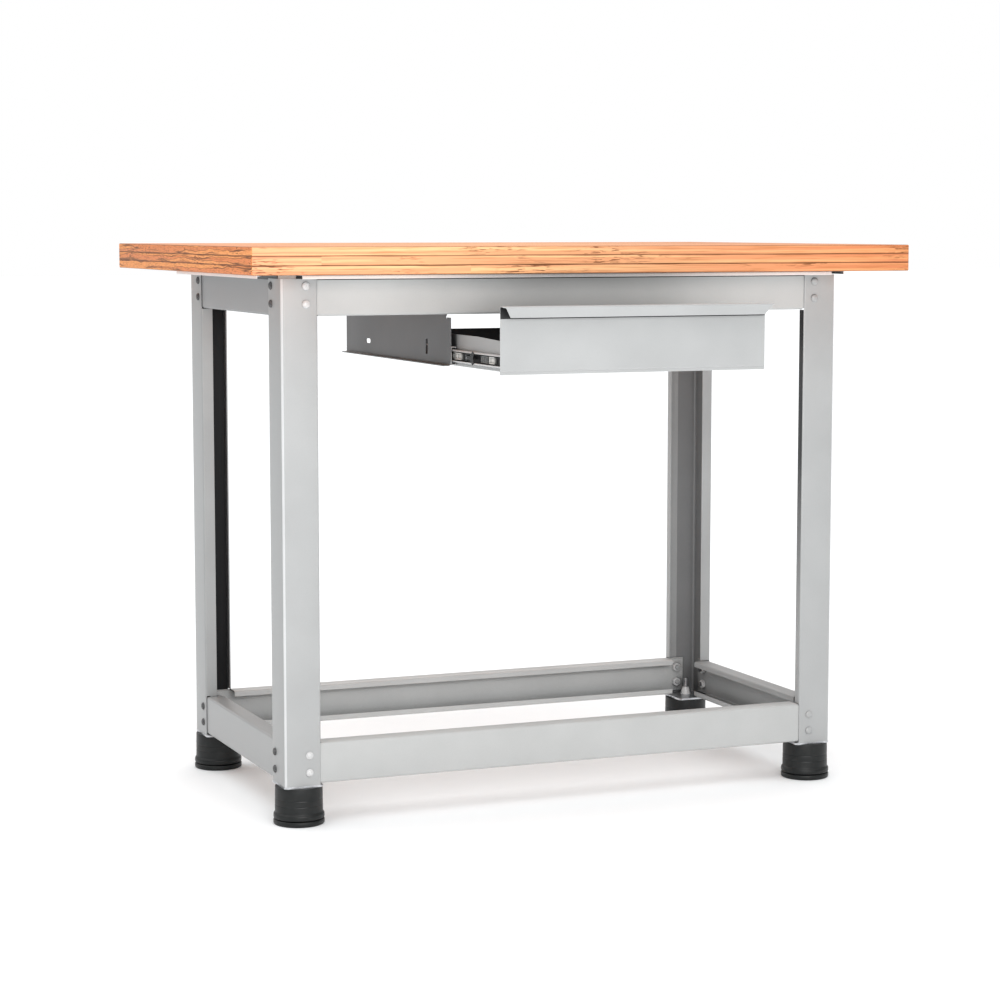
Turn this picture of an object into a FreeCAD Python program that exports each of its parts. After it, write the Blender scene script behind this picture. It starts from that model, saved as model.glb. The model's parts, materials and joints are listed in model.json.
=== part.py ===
import FreeCAD, Part
import math
import os

os.makedirs("parts", exist_ok=True)

# A free-standing workbench: a laminated wooden top on a bolted frame of folded
# sheet steel, four levelling feet, and one drawer on ball-bearing slides.
# Millimetres, +Z up, +X to the right, the front of the bench faces -Y.
# The origin is on the floor, under the middle of the steel frame.

# ---------------------------------------------------------------- bench sizes
bench_height = 850.0
worktop_width = 1055.0
worktop_depth = 757.0
layer_names = ("worktop_lower_layer", "worktop_middle_layer", "worktop_upper_layer")
layer_thickness = 40.0 / 3.0
worktop_arris = 1.2
front_overhang = 98.5
frame_width = 910.0
frame_depth = 482.0

# ------------------------------------------------------------- folded sheet
sheet = 2.0
post_bend = 4.0
rail_bend = 2.0
post_face = 56.0
post_side = 62.0
post_face_lip = 14.0
post_side_lip = 18.5
post_top_gap = 7.0
rail_height = 61.0
rail_end_inset = 24.0
rail_play = 1.0
lower_rail_lift = 2.0
lower_flange = 29.0
lower_lip = 9.0
top_flange = 31.0
top_lip = 7.0
top_return = 15.0

# ------------------------------------------------------------------- feet
foot_height = 57.0
foot_plate = 3.0
plate_overlap = 4.0
foot_inset_x = 29.5
foot_inset_y = 26.5
sleeve_radius = 35.7
sleeve_top_radius = 35.2
sleeve_wall = 4.0
bead_radius = 38.0
bead_height = 8.5
base_radius = 38.3
base_height = 8.0
base_boss_radius = 14.0
base_boss_height = 14.0
base_gap = 1.2
rim_round = 1.5
edge_break = 1.0
bead_slope = 3.0
sleeve_hole = 13.0
stud_radius = 4.0
stud_rise = 28.0
stud_seat = 3.0
boss_radius = 9.0
boss_top_radius = 5.6
boss_height = 13.0

# ---------------------------------------------------------------- fasteners
bolt_radius = 4.0
bolt_head_radius = 6.6
bolt_head_height = 3.6
bolt_crown_radius = 4.0
bolt_tail = 4.0
bolt_hole_play = 0.35
bolt_from_side = 38.0
bolt_from_front = 47.0
bolt_spacing = 26.0
nut_across_flats = 13.0
nut_height = 6.0
thread_play = 0.05
screw_radius = 2.5
screw_length = 24.0
screw_head_radius = 5.0
screw_head_height = 3.0
long_rail_screws = 3
short_rail_screws = 2
rail_screw_inset = 60.0
small_screw_radius = 1.9
small_head_radius = 3.6
small_head_height = 1.8
small_screw_tail = 2.2

# ---------------------------------------------------------- drawer and slides
drawer_centre = 9.0
hanger_span = 402.0
hanger_sheet = 1.5
hanger_height = 138.0
shoulder_gap = 5.0
hanger_end_gap = 1.0
hanger_foot_flange = 8.0
hanger_top_flange = 20.0
hanger_corner = 8.0
hanger_relief = 3.0
hanger_screws = 3
slot_width = 9.0
slot_height = 23.0
slot_from_front = 99.0
slot_above_slide = 10.0
peep_radius = 4.0
peep_stretch = 16.0
peep_from_back = 106.0
peep_above_slide = 7.5
slide_depth = 10.0
slide_height = 27.0
slide_above_edge = 15.5
slide_sheet = 1.2
slide_length = 400.0
slide_front_gap = 2.0
slide_overlap = 100.0
slide_screw_inset = 25.0
slide_screw_offset = 40.0
outer_reach = 8.2
outer_lip = 1.1
inner_reach = 7.4
inner_lip = 2.4
ball_radius = 1.5
ball_play = 0.05
ball_columns = 3
cage_sheet = 0.6
cage_web_gap = 0.2
cage_lip_gap = 0.4
cage_end = 12.0
cage_clearance = 10.0
cage_window_height = 11.0
drawer_opening = 209.0
drawer_sheet = 1.0
drawer_height = 47.0
drawer_depth = 420.0
drawer_bend = 1.5
side_fall = 4.5
side_fall_run = 135.0
front_sheet = 1.2
front_width = 418.0
front_drop = 1.7
front_height = 96.7
front_gap = 0.5
crease_above_edge = 4.7
crease_size = 0.6
pull_reach = 24.5
pull_return = 8.0
pull_drop = 16.0
pull_flare = 5.0
pull_mitre = 14.0
pull_ears = 3.0
pull_bend = 1.0
front_screw_inset = 60.0
front_screw_height = 14.0
front_screw_bite = 0.7
block_thickness = 3.6
block_height = 10.0
block_places = ((54.5, 20.0), (79.5, 26.0), (183.5, 34.0))
lever_place = 154.5
lever_length = 30.0
lever_plate = 0.8
lever_plate_gap = 0.3
lever_web_gap = 0.4
lever_boss_radius = 4.4
lever_arm = 6.0
lever_neck = 13.5
lever_tab = 6.0
lever_hook = 3.0
lever_swing_room = 2.3
lever_pin_radius = 1.5

# Small repeated pieces and the holes they fit have this many flat sides.
fastener_sides = 8
bolt_sides = 6
nut_sides = 6
screw_sides = 6
ball_sides = 6
foot_sides = 16

# Cutting shapes run past the faces they cut by this much.
overcut = 1.0

# ------------------------------------------------------------ derived levels
worktop_thickness = layer_thickness * len(layer_names)
underside = bench_height - worktop_thickness
half_width = frame_width / 2
half_depth = frame_depth / 2
post_bottom = foot_height + foot_plate
post_top = underside - post_top_gap
top_rail_bottom = underside - rail_height
lower_rail_bottom = post_bottom + lower_rail_lift
lower_rail_top = lower_rail_bottom + rail_height
worktop_front = -half_depth - front_overhang
rail_face = half_depth - sheet
rail_side_face = half_width - sheet
hanger_bottom = underside - hanger_height
hanger_shoulder = top_rail_bottom - shoulder_gap
slide_centre = hanger_bottom + slide_above_edge
drawer_bottom = hanger_bottom
front_bottom = drawer_bottom - front_drop
front_top = front_bottom + front_height
front_plane = -rail_face - front_gap - front_sheet - drawer_opening
drawer_front_wall = front_plane + front_sheet
hanger_half = hanger_span / 2
slide_face = hanger_half - hanger_sheet
drawer_half = slide_face - slide_depth
slide_front = -rail_face + sheet + slide_front_gap
drawer_travel = slide_length - slide_overlap
cage_length = slide_overlap - cage_clearance
cage_front = slide_front + cage_clearance + drawer_travel / 2 - drawer_opening / 2
half_slide = slide_height / 2
raceway = half_slide - slide_sheet
half_inner = raceway - 2 * (ball_radius + ball_play)
ball_level = (raceway + half_inner) / 2
ball_place = (slide_sheet + outer_reach) / 2

AXES = {"x": FreeCAD.Vector(1, 0, 0), "y": FreeCAD.Vector(0, 1, 0), "z": FreeCAD.Vector(0, 0, 1)}


def point(x, y, z):
    return FreeCAD.Vector(x, y, z)


def in_plan(u, v):
    """Section coordinates laid out on the floor: u is X, v is Y."""
    return point(u, v, 0)


def across_x(u, v):
    """Section coordinates of a part that runs along X: u is Y, v is Z."""
    return point(0, u, v)


def across_y(u, v):
    """Section coordinates of a part that runs along Y: u is X, v is Z."""
    return point(u, 0, v)


def box(x, y, z):
    """Box between the two ends given for each axis."""
    low = [min(span) for span in (x, y, z)]
    high = [max(span) for span in (x, y, z)]
    size = [b - a for a, b in zip(low, high)]
    return Part.makeBox(size[0], size[1], size[2], point(low[0], low[1], low[2]))


def round_rod(radius, start, direction, length):
    return Part.makeCylinder(radius, length, start, direction)


def prism(corners, place, shift):
    """Straight-sided solid: corners of one end, and the vector to the other end."""
    return flat_face([place(u, v) for u, v in corners]).extrude(shift)


def placed(shape, start, direction):
    """Move a part made along +Z at the origin to start, pointing along direction."""
    result = shape.copy()
    result.Placement = FreeCAD.Placement(start, FreeCAD.Rotation(AXES["z"], direction))
    return result


def ring_points(radius, height, sides):
    """Corners of a level regular polygon about the Z axis, with a flat towards +X."""
    turns = [2 * math.pi * (k + 0.5) / sides for k in range(sides)]
    return [point(radius * math.cos(turn), radius * math.sin(turn), height) for turn in turns]


def flat_face(corners):
    return Part.Face(Part.makePolygon(corners + corners[:1]))


def faceted(profile, sides):
    """Piece turned about the Z axis with a few flat sides; profile is a closed (radius, z) loop."""
    rings = [ring_points(radius, height, sides) for radius, height in profile]
    faces = []
    for index, ring in enumerate(rings):
        last = rings[index - 1]
        inner, outer = sorted((profile[index - 1][0], profile[index][0]))
        if inner > 0:
            faces += [flat_face([last[k - 1], last[k], ring[k], ring[k - 1]]) for k in range(sides)]
        elif outer > 0:
            faces.append(flat_face(ring if profile[index][0] > 0 else last))
    solid = Part.makeSolid(Part.makeShell(faces))
    if solid.Volume < 0:
        solid.reverse()
    return solid.removeSplitter()


def rod(radius, start, direction, length, sides):
    """Many-sided rod, or the cutter for the hole that such a rod fits."""
    bar = flat_face(ring_points(radius, 0, sides)).extrude(point(0, 0, length))
    return placed(bar, start, direction)


def unit(u, v):
    length = math.hypot(u, v)
    return u / length, v / length


def bent_side(path, offset, radii, place):
    """One face line of a folded sheet, with an arc at every bend that has a radius.

    The line is the path moved to its left by offset. Returns the edges and the
    two end points.
    """
    heads = [unit(b[0] - a[0], b[1] - a[1]) for a, b in zip(path, path[1:])]
    edges = []
    first = (path[0][0] - heads[0][1] * offset, path[0][1] + heads[0][0] * offset)
    last = (path[-1][0] - heads[-1][1] * offset, path[-1][1] + heads[-1][0] * offset)
    here = first
    for corner, before, after, radius in zip(path[1:-1], heads, heads[1:], radii):
        half_turn = math.acos(before[0] * after[0] + before[1] * after[1]) / 2
        left = unit(-before[1] - after[1], before[0] + after[0])
        shift = offset / math.cos(half_turn)
        vertex = (corner[0] + left[0] * shift, corner[1] + left[1] * shift)
        inward = unit(after[0] - before[0], after[1] - before[1])
        reach = radius * math.tan(half_turn)
        rise = radius / math.cos(half_turn) - radius
        start = (vertex[0] - before[0] * reach, vertex[1] - before[1] * reach)
        middle = (vertex[0] + inward[0] * rise, vertex[1] + inward[1] * rise)
        end = (vertex[0] + after[0] * reach, vertex[1] + after[1] * reach)
        edges.append(Part.LineSegment(place(*here), place(*start)).toShape())
        if radius > 0:
            edges.append(Part.Arc(place(*start), place(*middle), place(*end)).toShape())
        here = end
    edges.append(Part.LineSegment(place(*here), place(*last)).toShape())
    return edges, first, last


def folded(path, thickness, inner_radii, place, shift):
    """Folded sheet: path is one face of the sheet, the metal lies to its left.

    inner_radii holds the inner radius of each bend, 0 for a sharp fold.
    """
    heads = [unit(b[0] - a[0], b[1] - a[1]) for a, b in zip(path, path[1:])]
    turns = [a[0] * b[1] - a[1] * b[0] for a, b in zip(heads, heads[1:])]
    outer_radii = [radius + thickness if radius > 0 else 0.0 for radius in inner_radii]
    bends = list(zip(turns, inner_radii, outer_radii))
    path_radii = [outer if turn > 0 else inner for turn, inner, outer in bends]
    left_radii = [inner if turn > 0 else outer for turn, inner, outer in bends]
    near, near_first, near_last = bent_side(path, 0.0, path_radii, place)
    far, far_first, far_last = bent_side(path, thickness, left_radii, place)
    caps = [
        Part.LineSegment(place(*near_last), place(*far_last)).toShape(),
        Part.LineSegment(place(*near_first), place(*far_first)).toShape(),
    ]
    wire = Part.Wire(Part.__sortEdges__(near + far + caps))
    solid = Part.Face(wire).extrude(shift)
    solid.translate(shift * -0.5)
    return solid


def mirrored(shape, flip_x, flip_y):
    """Copy of a front-left part for another corner or side."""
    result = shape.copy()
    if flip_x:
        result = result.mirror(point(0, 0, 0), AXES["x"])
    if flip_y:
        result = result.mirror(point(0, 0, 0), AXES["y"])
    return result


def cut_all(shape, cutters):
    for cutter in cutters:
        shape = shape.cut(cutter)
    return shape


def save(name, shapes):
    solids = [solid for shape in shapes for solid in shape.Solids]
    whole = solids[0] if len(solids) == 1 else Part.Compound(solids)
    whole.exportStep("parts/" + name + ".step")


def domed_bolt():
    """Mushroom-head bolt; the head's seat is at the origin and the shank runs down."""
    tip = -2 * sheet - nut_height - bolt_tail
    profile = [
        (0.0, tip),
        (bolt_radius, tip),
        (bolt_radius, 0.0),
        (bolt_head_radius, 0.0),
        (bolt_crown_radius, bolt_head_height),
        (0.0, bolt_head_height),
    ]
    return faceted(profile, bolt_sides)


def hexagon_nut():
    """Nut for a bolt made by domed_bolt, behind the two sheets that it clamps."""
    corner = nut_across_flats / 2 / math.cos(math.pi / nut_sides)
    seat = point(0, 0, -2 * sheet)
    body = rod(corner, seat, AXES["z"] * -1, nut_height, nut_sides)
    bore = bolt_radius + thread_play / math.cos(math.pi / nut_sides)
    return body.cut(rod(bore, seat, AXES["z"] * -1, nut_height, nut_sides))


def headed_screw(radius, length, head_radius, head_height, sides):
    """Screw standing on its head: the seat is at the origin, the shank runs up."""
    profile = [(0, -head_height), (head_radius, -head_height), (head_radius, 0), (radius, 0),
               (radius, length), (0, length)]
    return faceted(profile, sides)


# -------------------------------------------------- places of the frame bolts
CORNERS = [("front_left", -1, -1), ("front_right", 1, -1), ("rear_left", -1, 1), ("rear_right", 1, 1)]
rail_middles = (lower_rail_bottom + rail_height / 2, top_rail_bottom + rail_height / 2)
bolt_levels = [middle + side * bolt_spacing / 2 for middle in rail_middles for side in (-1, 1)]

bolt_seats = []
for name, side_x, side_y in CORNERS:
    for level in bolt_levels:
        long_place = point(side_x * (half_width - bolt_from_side), side_y * half_depth, level)
        bolt_seats.append((long_place, point(0, side_y, 0)))
        short_place = point(side_x * half_width, side_y * (half_depth - bolt_from_front), level)
        bolt_seats.append((short_place, point(side_x, 0, 0)))

# Square punched holes take the necks of the bolts.
hole_corner = (bolt_radius + bolt_hole_play) * math.sqrt(2)
bolt_holes = [rod(hole_corner, seat + out * overcut, out * -1, 2 * (sheet + overcut), 4)
              for seat, out in bolt_seats]
bolt = domed_bolt()
nut = hexagon_nut()
save("frame_bolts", [placed(bolt, seat, out) for seat, out in bolt_seats])
save("frame_nuts", [placed(nut, seat, out) for seat, out in bolt_seats])

# ------------------------------------------------------------------ posts
# Each post is a folded corner with a return lip on both free edges. The lips
# are cut away where the rails run into the post.
post_path = [
    (-half_width + post_side_lip, -half_depth + post_side),
    (-half_width, -half_depth + post_side),
    (-half_width, -half_depth),
    (-half_width + post_face, -half_depth),
    (-half_width + post_face, -half_depth + post_face_lip),
]
post = folded(post_path, sheet, (0.0, post_bend, 0.0), in_plan, point(0, 0, post_top - post_bottom))
post.translate(point(0, 0, (post_top + post_bottom) / 2))
rail_spans = (
    (lower_rail_bottom - rail_play, lower_rail_top + rail_play),
    (top_rail_bottom - rail_play, post_top + rail_play),
)
inner_x = -half_width + post_face
inner_y = -half_depth + post_side
lip_windows = []
for low, high in rail_spans:
    lip_windows.append(box((inner_x - sheet, inner_x), (-rail_face, inner_y), (low, high)))
    lip_windows.append(box((-rail_side_face, inner_x), (inner_y - sheet, inner_y), (low, high)))
post = cut_all(post, lip_windows)
for name, side_x, side_y in CORNERS:
    corner_post = mirrored(post, side_x > 0, side_y > 0)
    near_holes = [hole for hole, (seat, out) in zip(bolt_holes, bolt_seats)
                  if seat.x * side_x > 0 and seat.y * side_y > 0]
    save(name + "_post", [cut_all(corner_post, near_holes)])

# ------------------------------------------------------------------ rails
# Top rails: a return at the foot, the web, a flange out over the posts and a
# turned-down edge. Lower rails: a lipped channel open to the middle.


def top_rail_path(face):
    inside = face + sheet
    return [
        (inside + top_return, top_rail_bottom + sheet),
        (inside, top_rail_bottom + sheet),
        (inside, underside),
        (face - top_flange, underside),
        (face - top_flange, underside - top_lip),
    ]


def lower_rail_path(face):
    edge = face + lower_flange
    return [
        (edge, lower_rail_top - lower_lip),
        (edge, lower_rail_top),
        (face, lower_rail_top),
        (face, lower_rail_bottom),
        (edge, lower_rail_bottom),
        (edge, lower_rail_bottom + lower_lip),
    ]


long_run = point(frame_width - 2 * rail_end_inset, 0, 0)
short_run = point(0, frame_depth - 2 * rail_end_inset, 0)
long_flange = half_width - post_face - rail_play
short_flange = half_depth - post_side - rail_play
trim_reach = sheet + max(lower_flange, top_return)


def end_trims(long_rail, low, high):
    """Boxes that stop the inner flanges of a front or left rail short of the posts."""
    trims = []
    for side in (-1, 1):
        if long_rail:
            along = (side * long_flange, side * half_width)
            inward = (-rail_face + sheet, -rail_face + trim_reach)
            trims.append(box(along, inward, (low, high)))
        else:
            along = (side * short_flange, side * half_depth)
            inward = (-rail_side_face + sheet, -rail_side_face + trim_reach)
            trims.append(box(inward, along, (low, high)))
    return trims


top_trim_span = (top_rail_bottom - rail_play, top_rail_bottom + sheet + 2 * rail_bend)
low_trim_span = (lower_rail_bottom - rail_play, lower_rail_top + rail_play)
top_bends = (rail_bend, rail_bend, 0.0)
low_bends = (0.0, rail_bend, rail_bend, 0.0)
long_top_rail = folded(top_rail_path(-rail_face), sheet, top_bends, across_x, long_run)
short_top_rail = folded(top_rail_path(-rail_side_face), sheet, top_bends, across_y, short_run)
long_low_rail = folded(lower_rail_path(-rail_face), sheet, low_bends, across_x, long_run)
short_low_rail = folded(lower_rail_path(-rail_side_face), sheet, low_bends, across_y, short_run)
long_top_rail = cut_all(long_top_rail, end_trims(True, *top_trim_span) + bolt_holes)
short_top_rail = cut_all(short_top_rail, end_trims(False, *top_trim_span) + bolt_holes)
long_low_rail = cut_all(long_low_rail, end_trims(True, *low_trim_span) + bolt_holes)
short_low_rail = cut_all(short_low_rail, end_trims(False, *low_trim_span) + bolt_holes)

# Screws through the outward flanges hold the worktop.
screw = headed_screw(screw_radius, screw_length, screw_head_radius, screw_head_height, screw_sides)
flange_middle = top_flange / 2
seat_level = underside - sheet


def spread(reach, count):
    """Evenly spaced places from -reach to reach."""
    return [-reach + 2 * reach * k / (count - 1) for k in range(count)]


long_places = spread(half_width - rail_screw_inset, long_rail_screws)
short_places = spread(half_depth - rail_screw_inset, short_rail_screws)
flange_seats = [point(x, side * (rail_face + flange_middle), seat_level)
                for x in long_places for side in (-1, 1)]
flange_seats += [point(side * (rail_side_face + flange_middle), y, seat_level)
                 for y in short_places for side in (-1, 1)]
screw_hole = rod(screw_radius + bolt_hole_play, point(0, 0, -sheet), AXES["z"], 3 * sheet, screw_sides)
flange_holes = [placed(screw_hole, seat, AXES["z"]) for seat in flange_seats]
save("front_top_rail", [cut_all(long_top_rail, flange_holes)])
save("rear_top_rail", [cut_all(mirrored(long_top_rail, False, True), flange_holes)])
save("left_top_rail", [cut_all(short_top_rail, flange_holes)])
save("right_top_rail", [cut_all(mirrored(short_top_rail, True, False), flange_holes)])
save("front_lower_rail", [long_low_rail])
save("rear_lower_rail", [mirrored(long_low_rail, False, True)])
save("left_lower_rail", [short_low_rail])
save("right_lower_rail", [mirrored(short_low_rail, True, False)])

# -------------------------------------------------------------------- feet
foot_x = half_width - foot_inset_x
foot_y = half_depth - foot_inset_y
sleeve_bottom = base_height + base_gap
bead_top = sleeve_bottom + bead_height
sleeve_profile = [
    (sleeve_hole, foot_height - sleeve_wall),
    (sleeve_radius - sleeve_wall, foot_height - sleeve_wall),
    (sleeve_radius - sleeve_wall, sleeve_bottom),
    (bead_radius, sleeve_bottom),
    (bead_radius, bead_top - bead_slope),
    (sleeve_radius, bead_top),
    (sleeve_top_radius, foot_height),
    (sleeve_hole, foot_height),
]
base_profile = [
    (0.0, 0.0),
    (base_radius - rim_round, 0.0),
    (base_radius, rim_round),
    (base_radius, base_height),
    (base_boss_radius, base_height),
    (base_boss_radius, base_height + base_boss_height),
    (0.0, base_height + base_boss_height),
]
stud_top = post_bottom + stud_rise
stud_profile = [
    (0.0, stud_seat),
    (stud_radius, stud_seat),
    (stud_radius, stud_top - edge_break),
    (stud_radius - edge_break, stud_top),
    (0.0, stud_top),
]
boss_profile = [
    (0.0, post_bottom),
    (boss_radius, post_bottom),
    (boss_top_radius, post_bottom + boss_height),
    (0.0, post_bottom + boss_height),
]
stud_bore = rod(stud_radius + thread_play, point(0, 0, stud_seat), AXES["z"], stud_top, fastener_sides)
sleeve = faceted(sleeve_profile, foot_sides)
base = faceted(base_profile, foot_sides).cut(stud_bore)
stud = faceted(stud_profile, fastener_sides)
boss = faceted(boss_profile, fastener_sides).cut(stud_bore)
plate_bore = rod(stud_radius + bolt_hole_play, point(0, 0, 0), AXES["z"], stud_top, fastener_sides)
bosses = []
for name, side_x, side_y in CORNERS:
    centre = point(side_x * foot_x, side_y * foot_y, 0)
    save(name + "_foot_sleeve", [placed(sleeve, centre, AXES["z"])])
    save(name + "_foot_base", [placed(base, centre, AXES["z"])])
    save(name + "_foot_stud", [placed(stud, centre, AXES["z"])])
    bosses.append(placed(boss, centre, AXES["z"]))
    plate = box(
        (side_x * half_width, side_x * (half_width - post_face - plate_overlap)),
        (side_y * half_depth, side_y * (half_depth - post_side - plate_overlap)),
        (foot_height, post_bottom),
    )
    upright = [edge for edge in plate.Edges if edge.BoundBox.ZLength > foot_plate / 2]
    plate = plate.makeChamfer(post_bend, upright)
    save(name + "_foot_plate", [plate.cut(placed(plate_bore, centre, AXES["z"]))])
save("foot_bosses", bosses)

# ---------------------------------------------------------- drawer hangers
# Two sheet walls hang from the worktop between the front and rear rails. Below
# the rails they reach the full depth; above, they pass between the rail returns.
hanger_reach = rail_face - sheet - hanger_end_gap
upper_reach = rail_face - sheet - top_return - hanger_end_gap - rail_bend
hanger_path = [
    (-hanger_half - hanger_foot_flange, hanger_bottom),
    (-hanger_half + hanger_sheet, hanger_bottom),
    (-hanger_half + hanger_sheet, underside - hanger_sheet),
    (-hanger_half + hanger_top_flange, underside - hanger_sheet),
]
hanger_bends = (drawer_bend, drawer_bend)
hanger = folded(hanger_path, hanger_sheet, hanger_bends, across_y, point(0, 2 * hanger_reach, 0))
for side in (-1, 1):
    step_y = (side * upper_reach, side * (hanger_reach + overcut))
    hanger = hanger.cut(box((-hanger_span, 0), step_y, (hanger_shoulder, underside + overcut)))
corner_block = box((-hanger_span, 0), (-hanger_reach - overcut, -hanger_reach + hanger_corner),
                   (hanger_bottom - overcut, hanger_bottom + hanger_corner))
corner_centre = point(-hanger_span, -hanger_reach + hanger_corner, hanger_bottom + hanger_corner)
corner_round = round_rod(hanger_corner, corner_centre, AXES["x"], hanger_span)
hanger = hanger.cut(corner_block.cut(corner_round))
relief_start = point(-hanger_span, -upper_reach, hanger_shoulder)
relief = rod(hanger_relief, relief_start, AXES["x"], hanger_span, fastener_sides)
slot_place = -hanger_reach + slot_from_front
slot_centre = slide_centre + slot_above_slide
slot = box((-hanger_half - overcut, -slide_face + slide_sheet),
           (slot_place - slot_width / 2, slot_place + slot_width / 2),
           (slot_centre - slot_height / 2, slot_centre + slot_height / 2))
peep_start = point(-hanger_half - overcut, hanger_reach - peep_from_back, slide_centre + peep_above_slide)
peep_ring = [(corner.x + math.copysign(peep_stretch / 2, corner.x), corner.y)
             for corner in ring_points(peep_radius, 0, fastener_sides)]
peep = prism(peep_ring, across_x, point(overcut + hanger_sheet + slide_sheet, 0, 0))
peep.translate(peep_start)
hanger = cut_all(hanger, [relief, slot, peep])
hanger_seats = [point(-hanger_half + hanger_top_flange / 2 + hanger_sheet, y, underside - hanger_sheet)
                for y in spread(upper_reach - rail_screw_inset, hanger_screws)]
hanger = cut_all(hanger, [placed(screw_hole, seat, AXES["z"]) for seat in hanger_seats])


def both_sides(shape):
    """Left and right copies of a part made for the left of a drawer centred on X = 0."""
    left = shape.copy()
    right = shape.mirror(point(0, 0, 0), AXES["x"])
    left.translate(point(drawer_centre, 0, 0))
    right.translate(point(drawer_centre, 0, 0))
    return left, right


def save_sides(name, shapes):
    pairs = [both_sides(shape) for shape in shapes]
    save("left_" + name, [pair[0] for pair in pairs])
    save("right_" + name, [pair[1] for pair in pairs])


save_sides("drawer_hanger", [hanger])
hanger_seats = [point(drawer_centre + side * seat.x, seat.y, seat.z)
                for seat in hanger_seats for side in (-1, 1)]
save("worktop_screws", [placed(screw, seat, AXES["z"]) for seat in flange_seats])
save("hanger_screws", [placed(screw, seat, AXES["z"]) for seat in hanger_seats])

# ----------------------------------------------------------------- worktop
# Three glued layers, with the arrises of the whole top eased.
pilot_holes = [rod(screw_radius + thread_play, seat, AXES["z"], screw_length + overcut, screw_sides)
               for seat in flange_seats + hanger_seats]
worktop = box((-worktop_width / 2, worktop_width / 2),
              (worktop_front, worktop_front + worktop_depth),
              (underside, bench_height))
worktop = cut_all(worktop.makeChamfer(worktop_arris, worktop.Edges), pilot_holes)
for index, name in enumerate(layer_names):
    low = underside + index * layer_thickness
    level = box((-worktop_width, worktop_width), (-worktop_depth, worktop_depth),
                (low, low + layer_thickness))
    save(name, [worktop.common(level)])

# ------------------------------------------------------------------ slides
# Section of the left slide, measured from the inner face of the hanger. The
# outer member is a channel fixed to the hanger, the inner member a smaller
# lipped channel on the drawer side, and balls in a cage run between the two.


def slide_section(across, up):
    return point(-slide_face + across, 0, slide_centre + up)


def slide_box(across, along, up):
    return box([-slide_face + value for value in across], along, [slide_centre + value for value in up])


outer_path = [
    (outer_reach, half_slide - slide_sheet - outer_lip),
    (outer_reach, half_slide),
    (0.0, half_slide),
    (0.0, -half_slide),
    (outer_reach, -half_slide),
    (outer_reach, -half_slide + slide_sheet + outer_lip),
]
sharp_folds = (0.0, 0.0, 0.0, 0.0)
outer = folded(outer_path, slide_sheet, sharp_folds, slide_section, point(0, slide_length, 0))
outer.translate(point(0, slide_front + slide_length / 2, 0))
outer = cut_all(outer, [slot, peep])
save_sides("slide_outer_member", [outer])

inner_front = drawer_front_wall + slide_front_gap
inner_edge = slide_depth - inner_reach
inner_path = [
    (inner_edge, -half_inner + inner_lip),
    (inner_edge, -half_inner),
    (slide_depth, -half_inner),
    (slide_depth, half_inner),
    (inner_edge, half_inner),
    (inner_edge, half_inner - inner_lip),
]
inner = folded(inner_path, slide_sheet, sharp_folds, slide_section, point(0, slide_length, 0))
inner.translate(point(0, inner_front + slide_length / 2, 0))
inner_web = slide_depth - slide_sheet
lever_pivot = inner_front + lever_place
pin_start = point(-slide_face, lever_pivot, slide_centre)
pin_seat_radius = (lever_pin_radius + thread_play) / math.cos(math.pi / fastener_sides)
pin_seat = rod(pin_seat_radius, pin_start, AXES["x"], slide_depth, fastener_sides)
slide_screw_places = (slide_screw_inset, slide_length / 2 + slide_screw_offset,
                      slide_length - slide_screw_inset)
slide_screw_seats = [point(-slide_face + inner_web, inner_front + place, slide_centre)
                     for place in slide_screw_places]
slide_screw = headed_screw(small_screw_radius, slide_sheet + drawer_sheet + small_screw_tail,
                           small_head_radius, small_head_height, screw_sides)
slide_screws = [placed(slide_screw, seat, AXES["x"]) for seat in slide_screw_seats]
slide_screw_holes = [rod(small_screw_radius + bolt_hole_play, seat - point(overcut, 0, 0), AXES["x"],
                         slide_sheet + drawer_sheet + small_screw_tail, screw_sides)
                     for seat in slide_screw_seats]
inner = cut_all(inner, [pin_seat] + slide_screw_holes)
save_sides("slide_inner_member", [inner])
sided_screws = [both_sides(shape) for shape in slide_screws]
save("slide_screws", [shape for pair in sided_screws for shape in pair])

# The cage is a thin channel with a window; its arms hold the balls in sockets.
cage_span = (cage_front, cage_front + cage_length)
cage_web = (slide_sheet + cage_web_gap, slide_sheet + cage_web_gap + cage_sheet)
cage_arm = (cage_web[0], outer_reach - slide_sheet - cage_lip_gap)
arm_up = (ball_level - cage_sheet / 2, ball_level + cage_sheet / 2)
cage = slide_box(cage_web, cage_span, (-arm_up[1], arm_up[1]))
ball_turns = (-math.pi / 3, 0.0, math.pi / 3)
ball_rings = [(ball_radius * math.cos(turn), ball_radius * math.sin(turn)) for turn in ball_turns]
ball = faceted([(0.0, ball_rings[0][1])] + ball_rings + [(0.0, ball_rings[-1][1])], ball_sides)
balls = []
for side in (-1, 1):
    cage = cage.fuse(slide_box(cage_arm, cage_span, (side * arm_up[0], side * arm_up[1])))
    for place in spread(cage_length / 2 - cage_end, ball_columns):
        along = cage_front + cage_length / 2 + place
        centre = slide_section(ball_place, side * ball_level) + point(0, along, 0)
        socket_start = centre - point(0, 0, ball_radius)
        cage = cage.cut(rod(ball_radius + ball_play, socket_start, AXES["z"], 2 * ball_radius, ball_sides))
        balls.append(placed(ball, centre, AXES["z"]))
cage_window = slide_box((cage_web[0] - cage_web_gap, cage_web[1] + cage_web_gap),
                        (cage_span[0] + cage_end, cage_span[1] - cage_end),
                        (-cage_window_height / 2, cage_window_height / 2))
cage = cage.cut(cage_window).removeSplitter()
save_sides("slide_ball_cage", [cage])
save_sides("slide_balls", balls)

# White guide blocks in the inner channel, and the black release lever.
block_across = (inner_web - block_thickness, inner_web)
blocks = [slide_box(block_across, (inner_front + start, inner_front + start + length),
                    (-block_height / 2, block_height / 2)) for start, length in block_places]
save_sides("slide_guide_blocks", blocks)

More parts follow.
